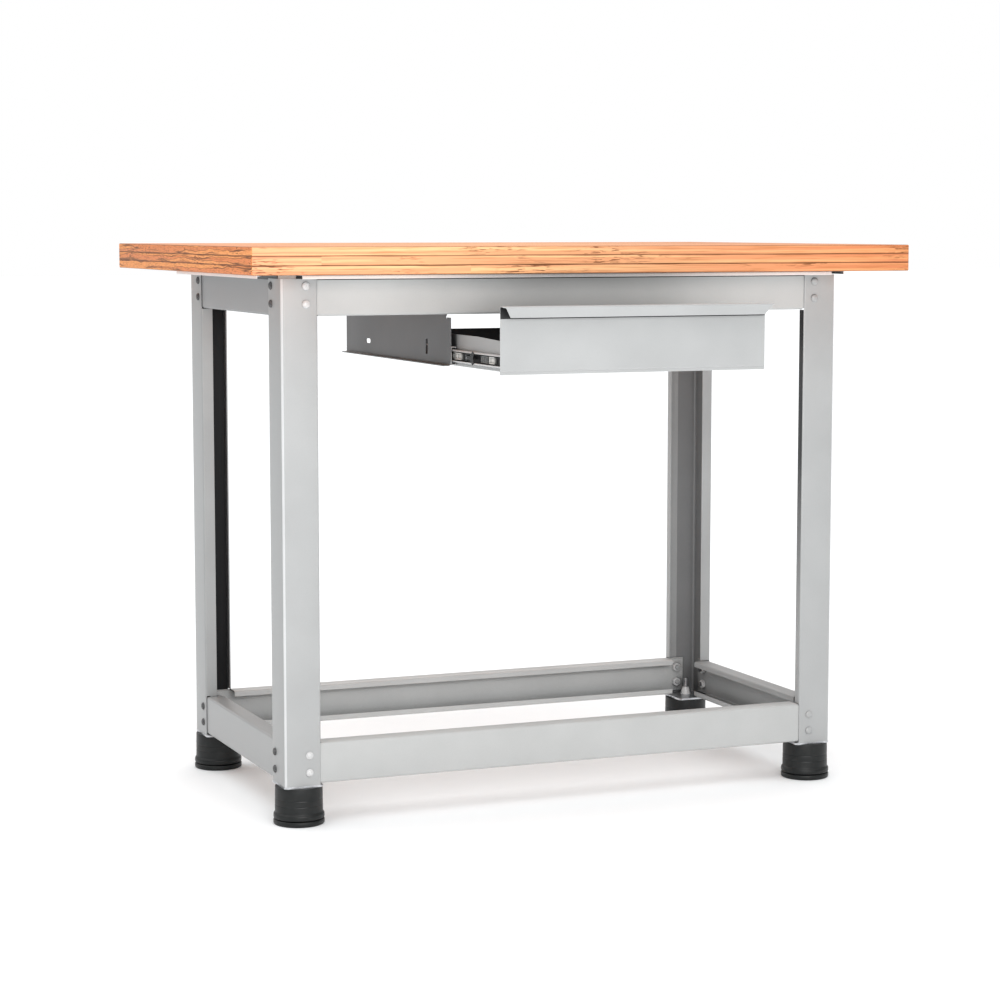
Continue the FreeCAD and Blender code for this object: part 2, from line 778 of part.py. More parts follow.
# The lever is a thin finger plate in front of the channel, with a boss inside
# it that turns on a pin through the web.
lever_face = slide_sheet + lever_plate_gap
lever_x = -slide_face + lever_face
lever_tip = lever_pivot - lever_length
lever_neck_end = lever_pivot - lever_neck
half_arm = lever_arm / 2
lever_finger = raceway - lever_swing_room
lever_outline = [
    (lever_pivot, slide_centre + half_arm),
    (lever_neck_end, slide_centre + half_arm),
    (lever_tip + lever_tab, slide_centre + lever_finger),
    (lever_tip, slide_centre + lever_finger - lever_hook),
    (lever_tip + lever_hook, slide_centre),
    (lever_tip, slide_centre - lever_finger + lever_hook),
    (lever_tip + lever_tab, slide_centre - lever_finger),
    (lever_neck_end, slide_centre - half_arm),
    (lever_pivot, slide_centre - half_arm),
]


def beside_slide(u, v):
    return point(lever_x, u, v)


boss_start = point(lever_x, lever_pivot, slide_centre)
boss_length = inner_web - lever_web_gap - lever_face
lever = prism(lever_outline, beside_slide, point(lever_plate, 0, 0))
lever = lever.fuse(rod(lever_boss_radius, boss_start, AXES["x"], boss_length, fastener_sides))
lever_bore = rod(pin_seat_radius, pin_start, AXES["x"], slide_depth, fastener_sides)
lever = lever.cut(lever_bore).removeSplitter()
save_sides("slide_release_lever", [lever])
pin = rod(lever_pin_radius, boss_start, AXES["x"], slide_depth - lever_face, fastener_sides)
save("lever_pins", list(both_sides(pin)))

# ------------------------------------------------------------------ drawer
drawer_x = (drawer_centre - drawer_half, drawer_centre + drawer_half)
drawer_y = (drawer_front_wall, drawer_front_wall + drawer_depth)
drawer_z = (drawer_bottom, drawer_bottom + drawer_height)
tray = box(drawer_x, drawer_y, drawer_z)
hollow = box(
    (drawer_x[0] + drawer_sheet, drawer_x[1] - drawer_sheet),
    (drawer_y[0] + drawer_sheet, drawer_y[1] - drawer_sheet),
    (drawer_z[0] + drawer_sheet, drawer_z[1] + overcut),
)


def bottom_folds(block):
    """The two lower edges along Y, where the tray's sides are folded up."""
    return [edge for edge in block.Edges
            if edge.BoundBox.YLength > drawer_depth / 2 and edge.CenterOfMass.z < drawer_z[1]]


tray = tray.makeFillet(drawer_bend + drawer_sheet, bottom_folds(tray))
tray = tray.cut(hollow.makeFillet(drawer_bend, bottom_folds(hollow)))
# The walls drop a little towards the front, below the pull.
fall = prism([(drawer_y[0], drawer_z[1] - side_fall), (drawer_y[0] + side_fall_run, drawer_z[1]),
              (drawer_y[0] + side_fall_run, drawer_z[1] + overcut),
              (drawer_y[0] - overcut, drawer_z[1] + overcut),
              (drawer_y[0] - overcut, drawer_z[1] - side_fall)],
             across_x, point(drawer_x[1] - drawer_x[0] + 2 * overcut, 0, 0))
fall.translate(point(drawer_x[0] - overcut, 0, 0))
tray = tray.cut(fall)
side_holes = [both_sides(hole) for hole in slide_screw_holes]
tray = cut_all(tray, [hole for pair in side_holes for hole in pair])

front_half = front_width / 2
front_x = (drawer_centre - front_half, drawer_centre + front_half)
panel = box(front_x, (front_plane, front_plane + front_sheet), (front_bottom, front_top))
crease_height = front_bottom + crease_above_edge
crease_mouth = crease_size + overcut
crease = prism([(front_plane - overcut, crease_height - crease_mouth),
                (front_plane - overcut, crease_height + crease_mouth),
                (front_plane + crease_size, crease_height)],
               across_x, point(front_width + 2 * overcut, 0, 0))
crease.translate(point(front_x[0] - overcut, 0, 0))
panel = panel.cut(crease)


def pull_cap():
    """Top of the finger pull, flaring from the panel's width to the pull's own."""
    flared = front_half + pull_flare
    ring = [(-front_half, 0), (-flared, -pull_reach), (flared, -pull_reach), (front_half, 0)]
    corners = [point(drawer_centre + u, front_plane + v, front_top - front_sheet) for u, v in ring]
    return flat_face(corners).extrude(point(0, 0, front_sheet))


def pull_face():
    """Front of the finger pull, between the cap's ears, mitred and leaning back to the panel."""
    wide = front_half + pull_flare - pull_ears
    narrow = front_half + pull_flare - pull_mitre
    thick = front_sheet * math.hypot(1, pull_return / pull_drop)
    y_top = front_plane - pull_reach
    y_low = y_top + pull_return
    z_low = front_top - pull_drop
    ring = [(-wide, y_top, front_top), (wide, y_top, front_top), (narrow, y_low, z_low),
            (-narrow, y_low, z_low)]
    corners = [point(drawer_centre + u, y, z) for u, y, z in ring]
    return flat_face(corners).extrude(point(0, thick, 0))


front = panel.fuse([pull_cap(), pull_face()]).removeSplitter()
brow = [edge for edge in front.Edges if edge.BoundBox.YMax < front_plane - pull_reach + crease_size
        and edge.BoundBox.ZMin > front_top - crease_size]
front = front.makeFillet(pull_bend, brow)
front_screw_places = [(side * (drawer_half - front_screw_inset), drawer_bottom + level)
                      for side in (-1, 1)
                      for level in (front_screw_height, drawer_height - front_screw_height)]
front_screw_length = drawer_sheet + front_screw_bite
front_screw = headed_screw(small_screw_radius, front_screw_length, small_head_radius, small_head_height,
                           screw_sides)
front_seats = [point(drawer_centre + x, drawer_front_wall + drawer_sheet, z) for x, z in front_screw_places]
front_holes = [rod(small_screw_radius + thread_play, seat, AXES["y"] * -1, front_screw_length, screw_sides)
               for seat in front_seats]
save("drawer_front_screws", [placed(front_screw, seat, AXES["y"] * -1) for seat in front_seats])
save("drawer_tray", [cut_all(tray, front_holes)])
save("drawer_front", [cut_all(front, front_holes)])
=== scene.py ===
# %% [markdown]
# # A workbench with one drawer
#
# The real bench is a thick wooden top on a bolted frame of folded sheet steel. It stands
# on four black levelling feet, and one drawer hangs below the top on ball slides. The
# steel is powder coated, the slides and fasteners are zinc plated, and the top is glued
# from three layers of timber.
#
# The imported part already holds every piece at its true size, so this lesson dresses it.
# Folded sheet is worked out again with a true round at every bend, and small turned and
# threaded pieces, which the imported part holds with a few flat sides, become smooth. A mesh
# modelled by hand would look the same, but a formula shows where every point comes from,
# and it follows the part when a size changes.

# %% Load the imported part
import json
import math

import bmesh
import bpy
import numpy as np
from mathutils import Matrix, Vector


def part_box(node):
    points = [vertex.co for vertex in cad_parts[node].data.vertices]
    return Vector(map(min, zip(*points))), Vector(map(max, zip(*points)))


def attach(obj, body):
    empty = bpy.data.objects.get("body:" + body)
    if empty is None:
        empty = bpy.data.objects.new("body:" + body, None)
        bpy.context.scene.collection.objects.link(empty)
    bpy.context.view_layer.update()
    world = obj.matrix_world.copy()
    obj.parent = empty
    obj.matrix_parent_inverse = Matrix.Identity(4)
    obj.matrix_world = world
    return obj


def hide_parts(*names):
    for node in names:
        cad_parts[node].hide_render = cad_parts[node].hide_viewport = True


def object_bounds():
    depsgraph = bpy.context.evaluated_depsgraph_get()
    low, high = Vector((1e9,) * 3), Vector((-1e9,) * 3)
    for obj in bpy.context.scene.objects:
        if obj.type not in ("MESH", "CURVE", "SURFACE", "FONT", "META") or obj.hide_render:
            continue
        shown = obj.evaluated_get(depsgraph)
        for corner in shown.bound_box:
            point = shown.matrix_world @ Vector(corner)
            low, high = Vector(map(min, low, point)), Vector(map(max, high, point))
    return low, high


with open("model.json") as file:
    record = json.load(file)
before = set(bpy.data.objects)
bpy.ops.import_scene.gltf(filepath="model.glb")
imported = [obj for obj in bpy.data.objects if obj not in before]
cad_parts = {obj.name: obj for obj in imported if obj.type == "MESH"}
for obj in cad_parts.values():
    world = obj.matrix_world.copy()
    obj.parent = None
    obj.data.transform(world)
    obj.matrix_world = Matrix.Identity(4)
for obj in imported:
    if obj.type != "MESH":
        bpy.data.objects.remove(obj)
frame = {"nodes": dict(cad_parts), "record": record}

packed_low, packed_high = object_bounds()
packed_size = [high - low for low, high in zip(packed_low, packed_high)]
print("packed part:", len(frame["nodes"]), "pieces,", [round(size, 3) for size in packed_size], "m")

# %% [markdown]
# ## Surfaces from whole arrays
#
# A turned piece, a rolled channel and a slab are all the same thing: a grid of points
# whose rows follow a profile and whose columns go round or along. Blender could spin or
# sweep them with its own tools. Working the grid out with numpy keeps the formula in
# view and needs no selection or mode, so it is used for every new piece here.

# %% Grids and meshes
MILLIMETRE = 0.001
WELD = 0.000001
CRISP_ANGLE = 35.0


def grid_quads(rows, columns, loop_rows=False, loop_columns=True):
    """Corner numbers of a grid's quads; a loop joins its last row or column to the first."""
    row = np.arange(rows if loop_rows else rows - 1)[:, None]
    column = np.arange(columns if loop_columns else columns - 1)[None, :]
    next_row = (row + 1) % rows
    next_column = (column + 1) % columns
    corners = [row * columns + column, row * columns + next_column,
               next_row * columns + next_column, next_row * columns + column]
    return np.stack(corners, axis=-1).reshape(-1, 4)


def new_piece(name, grids, mend, finishes, body, replaces):
    """Joins grids (points, quads) into one mesh at the origin that rides on a body.

    A grid's quads count its own points from nought, so the number of points before them is
    added. The function mend cleans the mesh, and edges sharper than CRISP_ANGLE stay crisp.
    """
    points = np.concatenate([points.reshape(-1, 3) for points, quads in grids])
    starts = np.cumsum([0] + [points.size // 3 for points, quads in grids[:-1]])
    quads = np.concatenate([quads + start for start, (points, quads) in zip(starts, grids)])
    mesh = bpy.data.meshes.new(name)
    mesh.from_pydata((points * MILLIMETRE).tolist(), [], quads.tolist())
    shape = bmesh.new()
    shape.from_mesh(mesh)
    mend(shape)
    shape.to_mesh(mesh)
    shape.free()
    mesh.shade_smooth()
    mesh.set_sharp_from_angle(angle=math.radians(CRISP_ANGLE))
    for finish in finishes:
        mesh.materials.append(finish)
    piece = bpy.data.objects.new(name, mesh)
    bpy.context.scene.collection.objects.link(piece)
    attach(piece, body)
    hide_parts(*replaces)
    return piece


def close_up(shape):
    """Welds points that share a place, which closes seams and poles, and turns faces outwards."""
    bmesh.ops.remove_doubles(shape, verts=shape.verts, dist=WELD)
    bmesh.ops.recalc_face_normals(shape, faces=shape.faces)


def mesh_piece(name, grids, body, replaces, material):
    """Closed piece of one material, from grids whose seams are welded."""
    piece = new_piece(name, grids, close_up, [material], body, replaces)
    print(f"{name}: {len(piece.data.polygons)} faces for {', '.join(replaces)}")


# %% [markdown]
# A turned piece is its profile, a line of (radius, height) points, carried round the
# Z axis. Real turned and moulded edges are never quite sharp, so the profile's corners
# are rounded first.

# %% Turned surfaces
CURVE_STEPS = 4


def rounded(profile, radius):
    """Open profile whose inner corners become short curves.

    Each corner C is left at A and met again at B, both radius away from it but never
    past half a side, and between them runs (1-t)^2 A + 2t(1-t) C + t^2 B.
    """
    profile = np.asarray(profile, float)
    corner = profile[1:-1]
    before = profile[:-2] - corner
    after = profile[2:] - corner
    before_length = np.linalg.norm(before, axis=1, keepdims=True)
    after_length = np.linalg.norm(after, axis=1, keepdims=True)
    reach = np.minimum(radius, np.minimum(before_length, after_length) / 2)
    leave = corner + before / before_length * reach
    meet = corner + after / after_length * reach
    t = np.linspace(0, 1, CURVE_STEPS)[None, :, None]
    curve = ((1 - t) ** 2 * leave[:, None] + 2 * t * (1 - t) * corner[:, None]
             + t ** 2 * meet[:, None])
    return np.concatenate([profile[:1], curve.reshape(-1, 2), profile[-1:]])


def turned(profile, sides):
    """Grid of a piece turned about Z: point (r cos a, r sin a, z) for each (r, z) and angle a."""
    profile = np.asarray(profile, float)
    angle = np.linspace(0, 2 * np.pi, sides, endpoint=False)
    radius, height = profile.T
    across = radius[:, None] * np.cos(angle)
    along = radius[:, None] * np.sin(angle)
    up = np.repeat(height[:, None], sides, axis=1)
    return np.stack([across, along, up], axis=-1), grid_quads(len(profile), sides)


def placed(grid, seats, outs):
    """Copies of a grid made along +Z: one on each seat, with its Z turned to out.

    A copy's X is a helper axis crossed with out, and its Y is out crossed with that X. The
    helper is the Z axis, or the X axis where out is itself upright.
    """
    points, quads = grid
    out = np.asarray(outs, float)
    helper = np.where(np.abs(out[:, 2:]) > 0.5, [[1.0, 0.0, 0.0]], [[0.0, 0.0, 1.0]])
    side = np.cross(helper, out)
    frames = np.stack([side, np.cross(out, side), out], axis=1)
    copies = np.einsum("pi,nij->npj", points.reshape(-1, 3), frames)
    copies += np.asarray(seats, float)[:, None, :]
    count = points.size // 3
    all_quads = quads[None] + np.arange(len(out))[:, None, None] * count
    return copies, all_quads.reshape(-1, 4)


# %% [markdown]
# ## Folded sheet
#
# Posts, rails, drawer and slides are sheet metal folded on a press. Such a piece is one
# line, its section, carried along its length. Each corner of the line is a bend with its
# own radius, because metal cannot fold to a sharp edge. Cells of the grid are left out
# where the real sheet is cut away. The Solidify modifier then gives the surface the
# thickness of the sheet, with a second finish for the inner side, and a fine bevel takes
# the sharpness off the cut edges.

# %% Fold lines
FOLD_STEPS = 6


def fold_line(path, radii, steps=FOLD_STEPS):
    """Section line whose corners are arcs.

    An arc of radius r leaves its corner C by r tan(h) on both sides, h being half the
    turn. Its points are C + n r / cos(h) - r (n cos a - t sin a) for a from -h to h,
    where n points into the bend and t runs along it.
    """
    path = np.asarray(path, float)
    heads = np.diff(path, axis=0)
    heads /= np.linalg.norm(heads, axis=1, keepdims=True)
    before, after = heads[:-1], heads[1:]
    half = np.arccos(np.clip((before * after).sum(axis=1), -1, 1))[:, None, None] / 2
    inward = after - before
    inward = (inward / np.linalg.norm(inward, axis=1, keepdims=True))[:, None, :]
    onward = before + after
    onward = (onward / np.linalg.norm(onward, axis=1, keepdims=True))[:, None, :]
    radius = np.asarray(radii, float)[:, None, None]
    angle = np.linspace(-1, 1, steps)[None, :, None] * half
    centre = path[1:-1, None, :] + inward * radius / np.cos(half)
    arcs = centre - radius * (inward * np.cos(angle) - onward * np.sin(angle))
    return np.concatenate([path[:1], arcs.reshape(-1, 2), path[-1:]])


def with_row(line, bends_before, point, steps=FOLD_STEPS):
    """The same line with one more point, on the straight after so many of its bends."""
    return np.insert(line, 1 + bends_before * steps, [point], axis=0)


# %% A section carried along an axis
def carried(line, stations, axes):
    """Grid point (u, v, w): u and v from the section line, w from the stations.

    axes gives the places of u, v and w in a point. The faces look to the right of the
    line, so the metal that Solidify adds lies to its left.
    """
    points = np.zeros((len(line), len(stations), 3))
    points[..., axes[0]] = line[:, 0, None]
    points[..., axes[1]] = line[:, 1, None]
    points[..., axes[2]] = np.asarray(stations, float)[None, :]
    quads = grid_quads(len(line), len(stations), loop_columns=False)
    turned_over = (axes[1] - axes[0]) % 3 == 1
    return points, quads[:, ::-1] if turned_over else quads


def cell_middles(grid):
    """Middle of each cell of a grid: the mean of its four corners."""
    points, quads = grid
    return points.reshape(-1, 3)[quads].mean(axis=1)


def cut_away(grid, boxes):
    """Leaves out the cells whose middle lies in one of the boxes (lowest, highest corner)."""
    points, quads = grid
    middle = cell_middles(grid)
    low = np.array([box[0] for box in boxes], float)[:, None, :]
    high = np.array([box[1] for box in boxes], float)[:, None, :]
    inside = ((middle > low) & (middle < high)).all(axis=2).any(axis=0)
    return points, quads[~inside]


def flipped(grid, signs, about=(0.0, 0.0, 0.0)):
    """Mirror image about planes through a point; an odd number of mirrors turns the faces back."""
    points, quads = grid
    signs = np.asarray(signs, float)
    middle = np.asarray(about, float)
    moved = (points - middle) * signs + middle
    return moved, quads[:, ::-1] if np.prod(signs) < 0 else quads


# %% Sheet pieces
EDGE_BEVEL = 0.25
EDGE_SEGMENTS = 2
EDGE_ANGLE = 40.0


def drop_loose(shape):
    """Deletes the points that no cell uses any more."""
    loose = [vert for vert in shape.verts if not vert.link_faces]
    bmesh.ops.delete(shape, geom=loose, context="VERTS")


def sheet_piece(name, grids, body, replaces, finishes, thickness, step=None):
    """Piece of sheet: the grids are one face of it, and the thickness goes inwards from there.

    A cell takes the finish that step numbers, or the first, and its inner side the next one.
    """
    piece = new_piece(name, grids, drop_loose, finishes, body, replaces)
    if step is not None:
        piece.data.polygons.foreach_set("material_index", step.astype(np.int32))
    wall = piece.modifiers.new("thickness", "SOLIDIFY")
    wall.thickness = thickness * MILLIMETRE
    wall.offset = -1.0
    wall.use_even_offset = True
    wall.material_offset = 1
    edges = piece.modifiers.new("cut_edges", "BEVEL")
    edges.width = EDGE_BEVEL * MILLIMETRE
    edges.segments = EDGE_SEGMENTS
    edges.limit_method = "ANGLE"
    edges.angle_limit = math.radians(EDGE_ANGLE)
    edges.harden_normals = True
    print(f"{name}: {len(piece.data.polygons)} cells of {thickness} mm sheet")


# %% [markdown]
# ## Where the small pieces sit
#
# Each fastener node holds many separate solids. Their places are read from the packed
# mesh, so that nothing has to be typed in twice. Two triangles belong to one solid when
# they share a corner, and the lowest point number is passed on over shared corners
# until nothing changes.

# %% Places of separate solids
def solid_boxes(node):
    """Lowest and highest corners, in millimetres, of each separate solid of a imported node."""
    mesh = frame["nodes"][node].data
    places = np.zeros(len(mesh.vertices) * 3)
    mesh.vertices.foreach_get("co", places)
    corners = np.zeros(len(mesh.loops), int)
    mesh.loops.foreach_get("vertex_index", corners)
    points, number = np.unique(places.reshape(-1, 3).round(6), axis=0, return_inverse=True)
    triangles = number.reshape(-1)[corners].reshape(-1, 3)
    label = np.arange(len(points))
    settled = False
    while not settled:
        before = label.copy()
        lowest = np.repeat(label[triangles].min(axis=1), 3)
        np.minimum.at(label, triangles.ravel(), lowest)
        settled = bool((label == before).all())
    groups = [points[label == kind] / MILLIMETRE for kind in np.unique(label)]
    low = np.array([group.min(axis=0) for group in groups])
    high = np.array([group.max(axis=0) for group in groups])
    return low, high


def millimetre_box(node):
    """A node's box in millimetres, as two numpy rows."""
    low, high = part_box(node)
    return np.array(low) / MILLIMETRE, np.array(high) / MILLIMETRE


bolt_low, bolt_high = solid_boxes("frame_bolts")
print("frame bolts:", len(bolt_low), "solids, each", (bolt_high - bolt_low)[0].round(1), "mm")

# %% [markdown]
# ## Finishes
#
# Every finish is a node tree, so it has detail at any distance and needs no picture.
# The patterns read object coordinates in metres: each piece's object sits at the
# origin, so the pattern has its real size and stays on the piece when it moves.

# %% A short way to write node trees
def add_node(tree, kind, inputs=None, **settings):
    """Adds a shader node. inputs holds values or other nodes' outputs, settings its options."""
    node = tree.nodes.new(kind)
    for name, value in settings.items():
        setattr(node, name, value)
    for name, value in (inputs or {}).items():
        if isinstance(value, bpy.types.NodeSocket):
            tree.links.new(value, node.inputs[name])
        else:
            node.inputs[name].default_value = value
    return node


def start_material(name):
    """New node material: its tree, its main shader and its object coordinates."""
    material = bpy.data.materials.new(name)
    material.use_nodes = True
    tree = material.node_tree
    shader = tree.nodes["Principled BSDF"]
    place = add_node(tree, "ShaderNodeTexCoord")
    return material, tree, shader, place


def vector_math(tree, operation, first, second):
    """Sum or product of two vectors or outputs, axis by axis."""
    inputs = {0: first, 1: second}
    return add_node(tree, "ShaderNodeVectorMath", inputs, operation=operation).outputs[0]


def scaled(tree, place, scale):
    """Coordinates multiplied by a number for each axis, which stretches a pattern."""
    return vector_math(tree, "MULTIPLY", place, scale)


def noise(tree, place, scale, detail):
    """Noise from 0 to 1 at so many features a metre; detail is how many finer layers it has."""
    inputs = {"Vector": place, "Scale": scale, "Detail": detail}
    return add_node(tree, "ShaderNodeTexNoise", inputs).outputs["Fac"]


def ramp(tree, value, low, high, start=0.0, end=1.0):
    """Takes value from the span low..high to start..end, and holds it beyond."""
    inputs = {"Value": value, "From Min": low, "From Max": high, "To Min": start, "To Max": end}
    return add_node(tree, "ShaderNodeMapRange", inputs, clamp=True).outputs["Result"]


def arithmetic(tree, operation, first, second):
    """Sum, difference, product, quotient or larger one of two values or outputs."""
    inputs = {0: first, 1: second}
    return add_node(tree, "ShaderNodeMath", inputs, operation=operation).outputs[0]


def times(tree, first, second):
    """Product of two values or outputs."""
    return arithmetic(tree, "MULTIPLY", first, second)


def blend(tree, factor, first, second, blend_type="MIX"):
    """Colour blend: first where factor is 0, second where it is 1.

    The Mix node has sockets for every kind of data. Its colours are inputs 6 and 7 and
    output 2.
    """
    inputs = {0: factor, 6: first, 7: second}
    node = add_node(tree, "ShaderNodeMix", inputs, data_type="RGBA", blend_type=blend_type)
    return node.outputs[2]


# %% Masks of edges and folds, and relief
EDGE_SAMPLES = 4
EDGE_MATCH = (0.985, 0.85)
FOLD_SAMPLES = 8


def edge_mask(tree, radius):
    """About 1 on edges and 0 on flats: how far the rounded normal leaves the true one."""
    bevel = add_node(tree, "ShaderNodeBevel", {"Radius": radius}, samples=EDGE_SAMPLES)
    face = add_node(tree, "ShaderNodeNewGeometry")
    normals = {0: bevel.outputs["Normal"], 1: face.outputs["Normal"]}
    match = add_node(tree, "ShaderNodeVectorMath", normals, operation="DOT_PRODUCT")
    return ramp(tree, match.outputs["Value"], *EDGE_MATCH)


def openness(tree, distance):
    """1 in the open and 0 deep in a fold, as far as other faces hide the sky within distance."""
    sight = add_node(tree, "ShaderNodeAmbientOcclusion", {"Distance": distance},
                     samples=FOLD_SAMPLES)
    return sight.outputs["AO"]


def relief(tree, shader, height, strength, distance):
    """Bump of a shader from a height pattern; distance is the pattern's full depth in metres."""
    inputs = {"Strength": strength, "Distance": distance, "Height": height}
    bump = add_node(tree, "ShaderNodeBump", inputs)
    tree.links.new(bump.outputs["Normal"], shader.inputs["Normal"])


# %% [markdown]
# Powder coat is a sprayed powder melted to a skin. It has a fine orange peel of about a
# millimetre and a half, an even mid gloss, and a very faint cloudiness. It runs thin on
# sharp edges. Shade is painted into it as well: narrow folds turn to a darker colour, the
# inner sides of posts and drawer are painted dark, and the greys of the pieces differ as
# painted light and shade, the long rails the palest and the short rails the darkest. One
# plain colour would look like plastic, so three masks tell the shader where the coat is
# mottled, where it is worn and where shade is painted in.

# %% Powder coat
# Only the grey and the worn-edge colour are the coat's own; the others paint light or shade, and
# the default fold colour also tints the specks.
COAT_GREY = (0.36, 0.365, 0.365, 1.0)
COAT_LIT_LONG_RAIL = (0.435, 0.44, 0.435, 1.0)
COAT_LIT_REAR_RAIL = (0.52, 0.525, 0.52, 1.0)
COAT_SIDE_SHADE = (0.32, 0.325, 0.325, 1.0)
COAT_SIDE_TOP_SHADE = (0.23, 0.232, 0.235, 1.0)
COAT_BEND_HIGHLIGHT = (0.58, 0.585, 0.59, 1.0)
COAT_FLANGE_LIGHT = (0.82, 0.825, 0.83, 1.0)
COAT_THIN = (0.60, 0.60, 0.60, 1.0)
COAT_SPECK_AND_SHADE = (0.06, 0.062, 0.064, 1.0)
COAT_HANGER_SHADE = (0.078, 0.080, 0.083, 1.0)
COAT_INNER_SHADE = (0.23, 0.232, 0.235, 1.0)
COAT_DARK_SHADE = (0.022, 0.0225, 0.024, 1.0)
COAT_DEEP_SHADE = (0.012, 0.012, 0.013, 1.0)
TOP_SHADE_SPAN = (0.22, 0.52)
MOTTLE = 0.05
COAT_CLOUDS = 9.0
COAT_SPECKS = 1400.0
COAT_PEEL = 650.0
COAT_EDGE_RADIUS = 0.0007
FOLD_REACH = 0.10


def powder_coat(name, colour, shaded=COAT_SPECK_AND_SHADE, shine=0.5, top_shade=None):
    """Coat of one colour, painted with the shaded one in folds and, if given, a top colour, as
    shade.
    """
    material, tree, shader, place = start_material(name)
    at = place.outputs["Object"]
    shader.inputs["Specular IOR Level"].default_value = shine
    cloud = noise(tree, at, COAT_CLOUDS, detail=3.0)
    speck = noise(tree, at, COAT_SPECKS, detail=1.0)
    light = [channel * (1 + MOTTLE) for channel in colour[:3]] + [1.0]
    dark = [channel * (1 - MOTTLE) for channel in colour[:3]] + [1.0]
    mottled = blend(tree, ramp(tree, cloud, 0.3, 0.7), dark, light)
    mottled = blend(tree, ramp(tree, speck, 0.62, 0.75, 0.0, 0.12), mottled, COAT_SPECK_AND_SHADE)
    thinned = times(tree, edge_mask(tree, COAT_EDGE_RADIUS), 0.5)
    edged = blend(tree, thinned, mottled, COAT_THIN)
    # Painted shade: where nearby faces hide the sky, the coat turns to the shaded colour.
    in_open = ramp(tree, openness(tree, FOLD_REACH), 0.18, 0.48)
    fold_shaded = blend(tree, in_open, shaded, edged)
    # Painted shade: the coat darkens towards the top over the span of heights.
    if top_shade is not None:
        spot = add_node(tree, "ShaderNodeSeparateXYZ", {0: at})
        fold_shaded = blend(tree, ramp(tree, spot.outputs["Z"], *TOP_SHADE_SPAN), fold_shaded, top_shade)
    tree.links.new(fold_shaded, shader.inputs["Base Color"])
    tree.links.new(ramp(tree, cloud, 0.3, 0.7, 0.32, 0.40), shader.inputs["Roughness"])
    peel = noise(tree, at, COAT_PEEL, detail=2.0)
    relief(tree, shader, peel, strength=0.25, distance=0.00004)
    return material


grey_coat = powder_coat("grey_powder_coat", COAT_GREY)
lit_long_rail_coat = powder_coat("long_rail_painted_light_coat", COAT_LIT_LONG_RAIL)
lit_rear_rail_coat = powder_coat("rear_rail_painted_light_coat", COAT_LIT_REAR_RAIL)
side_shade_coat = powder_coat("side_painted_shade_coat", COAT_SIDE_SHADE)
side_top_shade_coat = powder_coat("side_top_painted_shade_coat", COAT_SIDE_TOP_SHADE)
bend_highlight_coat = powder_coat("bend_painted_highlight_coat", COAT_BEND_HIGHLIGHT)
flange_light_coat = powder_coat("flange_painted_light_coat", COAT_FLANGE_LIGHT)
hanger_shade_coat = powder_coat("hanger_painted_shade_coat", COAT_HANGER_SHADE)
inner_shade_coat = powder_coat("inner_painted_shade_coat", COAT_INNER_SHADE)
deep_shade_coat = powder_coat("fold_painted_deep_shade_coat", COAT_DEEP_SHADE, shaded=COAT_DEEP_SHADE, shine=0.12)
dark_shade_coat = powder_coat("painted_dark_shade_coat", COAT_DARK_SHADE, shaded=COAT_DEEP_SHADE, shine=0.25)
lip_coat = powder_coat("lip_inner_coat", COAT_GREY, shaded=COAT_INNER_SHADE)
top_shade_lip_coat = powder_coat("lip_painted_top_shade_coat", COAT_GREY, shine=0.3, top_shade=COAT_DARK_SHADE)

# %% [markdown]
# Zinc plate on rolled steel is a cool bright grey. It is a metal, so its look is all in
# the reflection: the roughness changes in soft patches, and fine lines run along the
# rolled sheet. A shader with stretched highlights could stand for the lines, but stretched
# noise also shows them close up.

# %% Zinc plate
ZINC = (0.66, 0.67, 0.69, 1.0)
ZINC_DULL = (0.42, 0.43, 0.45, 1.0)
ROLLED_LINES = (2500.0, 40.0, 2500.0)
TURNED_LINES = (1800.0, 1800.0, 1800.0)


def zinc_plate(name, line_scale):
    """Zinc with rolling lines; line_scale is how many a metre there are along each axis."""
    material, tree, shader, place = start_material(name)
    at = place.outputs["Object"]
    patch = noise(tree, at, 160.0, detail=4.0)
    line = noise(tree, scaled(tree, at, line_scale), 1.0, detail=2.0)
    colour = blend(tree, ramp(tree, patch, 0.35, 0.7), ZINC_DULL, ZINC)
    tree.links.new(colour, shader.inputs["Base Color"])
    shader.inputs["Metallic"].default_value = 1.0
    rough = arithmetic(tree, "ADD", ramp(tree, patch, 0.3, 0.7, 0.24, 0.36),
                       ramp(tree, line, 0.4, 0.6, 0.0, 0.08))
    tree.links.new(rough, shader.inputs["Roughness"])
    relief(tree, shader, line, strength=0.2, distance=0.00003)
    return material


rolled_zinc = zinc_plate("rolled_zinc", ROLLED_LINES)
turned_zinc = zinc_plate("turned_zinc", TURNED_LINES)

# %% [markdown]
# The inner sides of the slides' channels are painted near black, as the shade in them. Bolt
# heads are zinc too, but tumbled dull, and those at the sides are painted dark, as shade.
# None of these shines like a metal any more, so each is a plain rough surface with two
# colours in patches.

# %% Painted shade and tumbled zinc
CHANNEL_SHADE_BLACK = (0.010, 0.010, 0.011, 1.0)
DARK_SHADE_GREY = (0.05, 0.05, 0.052, 1.0)
TUMBLED = (0.60, 0.60, 0.60, 1.0)
TUMBLED_DULL = (0.44, 0.44, 0.44, 1.0)
SIDE_BOLT_PATCH = (0.16, 0.16, 0.16, 1.0)


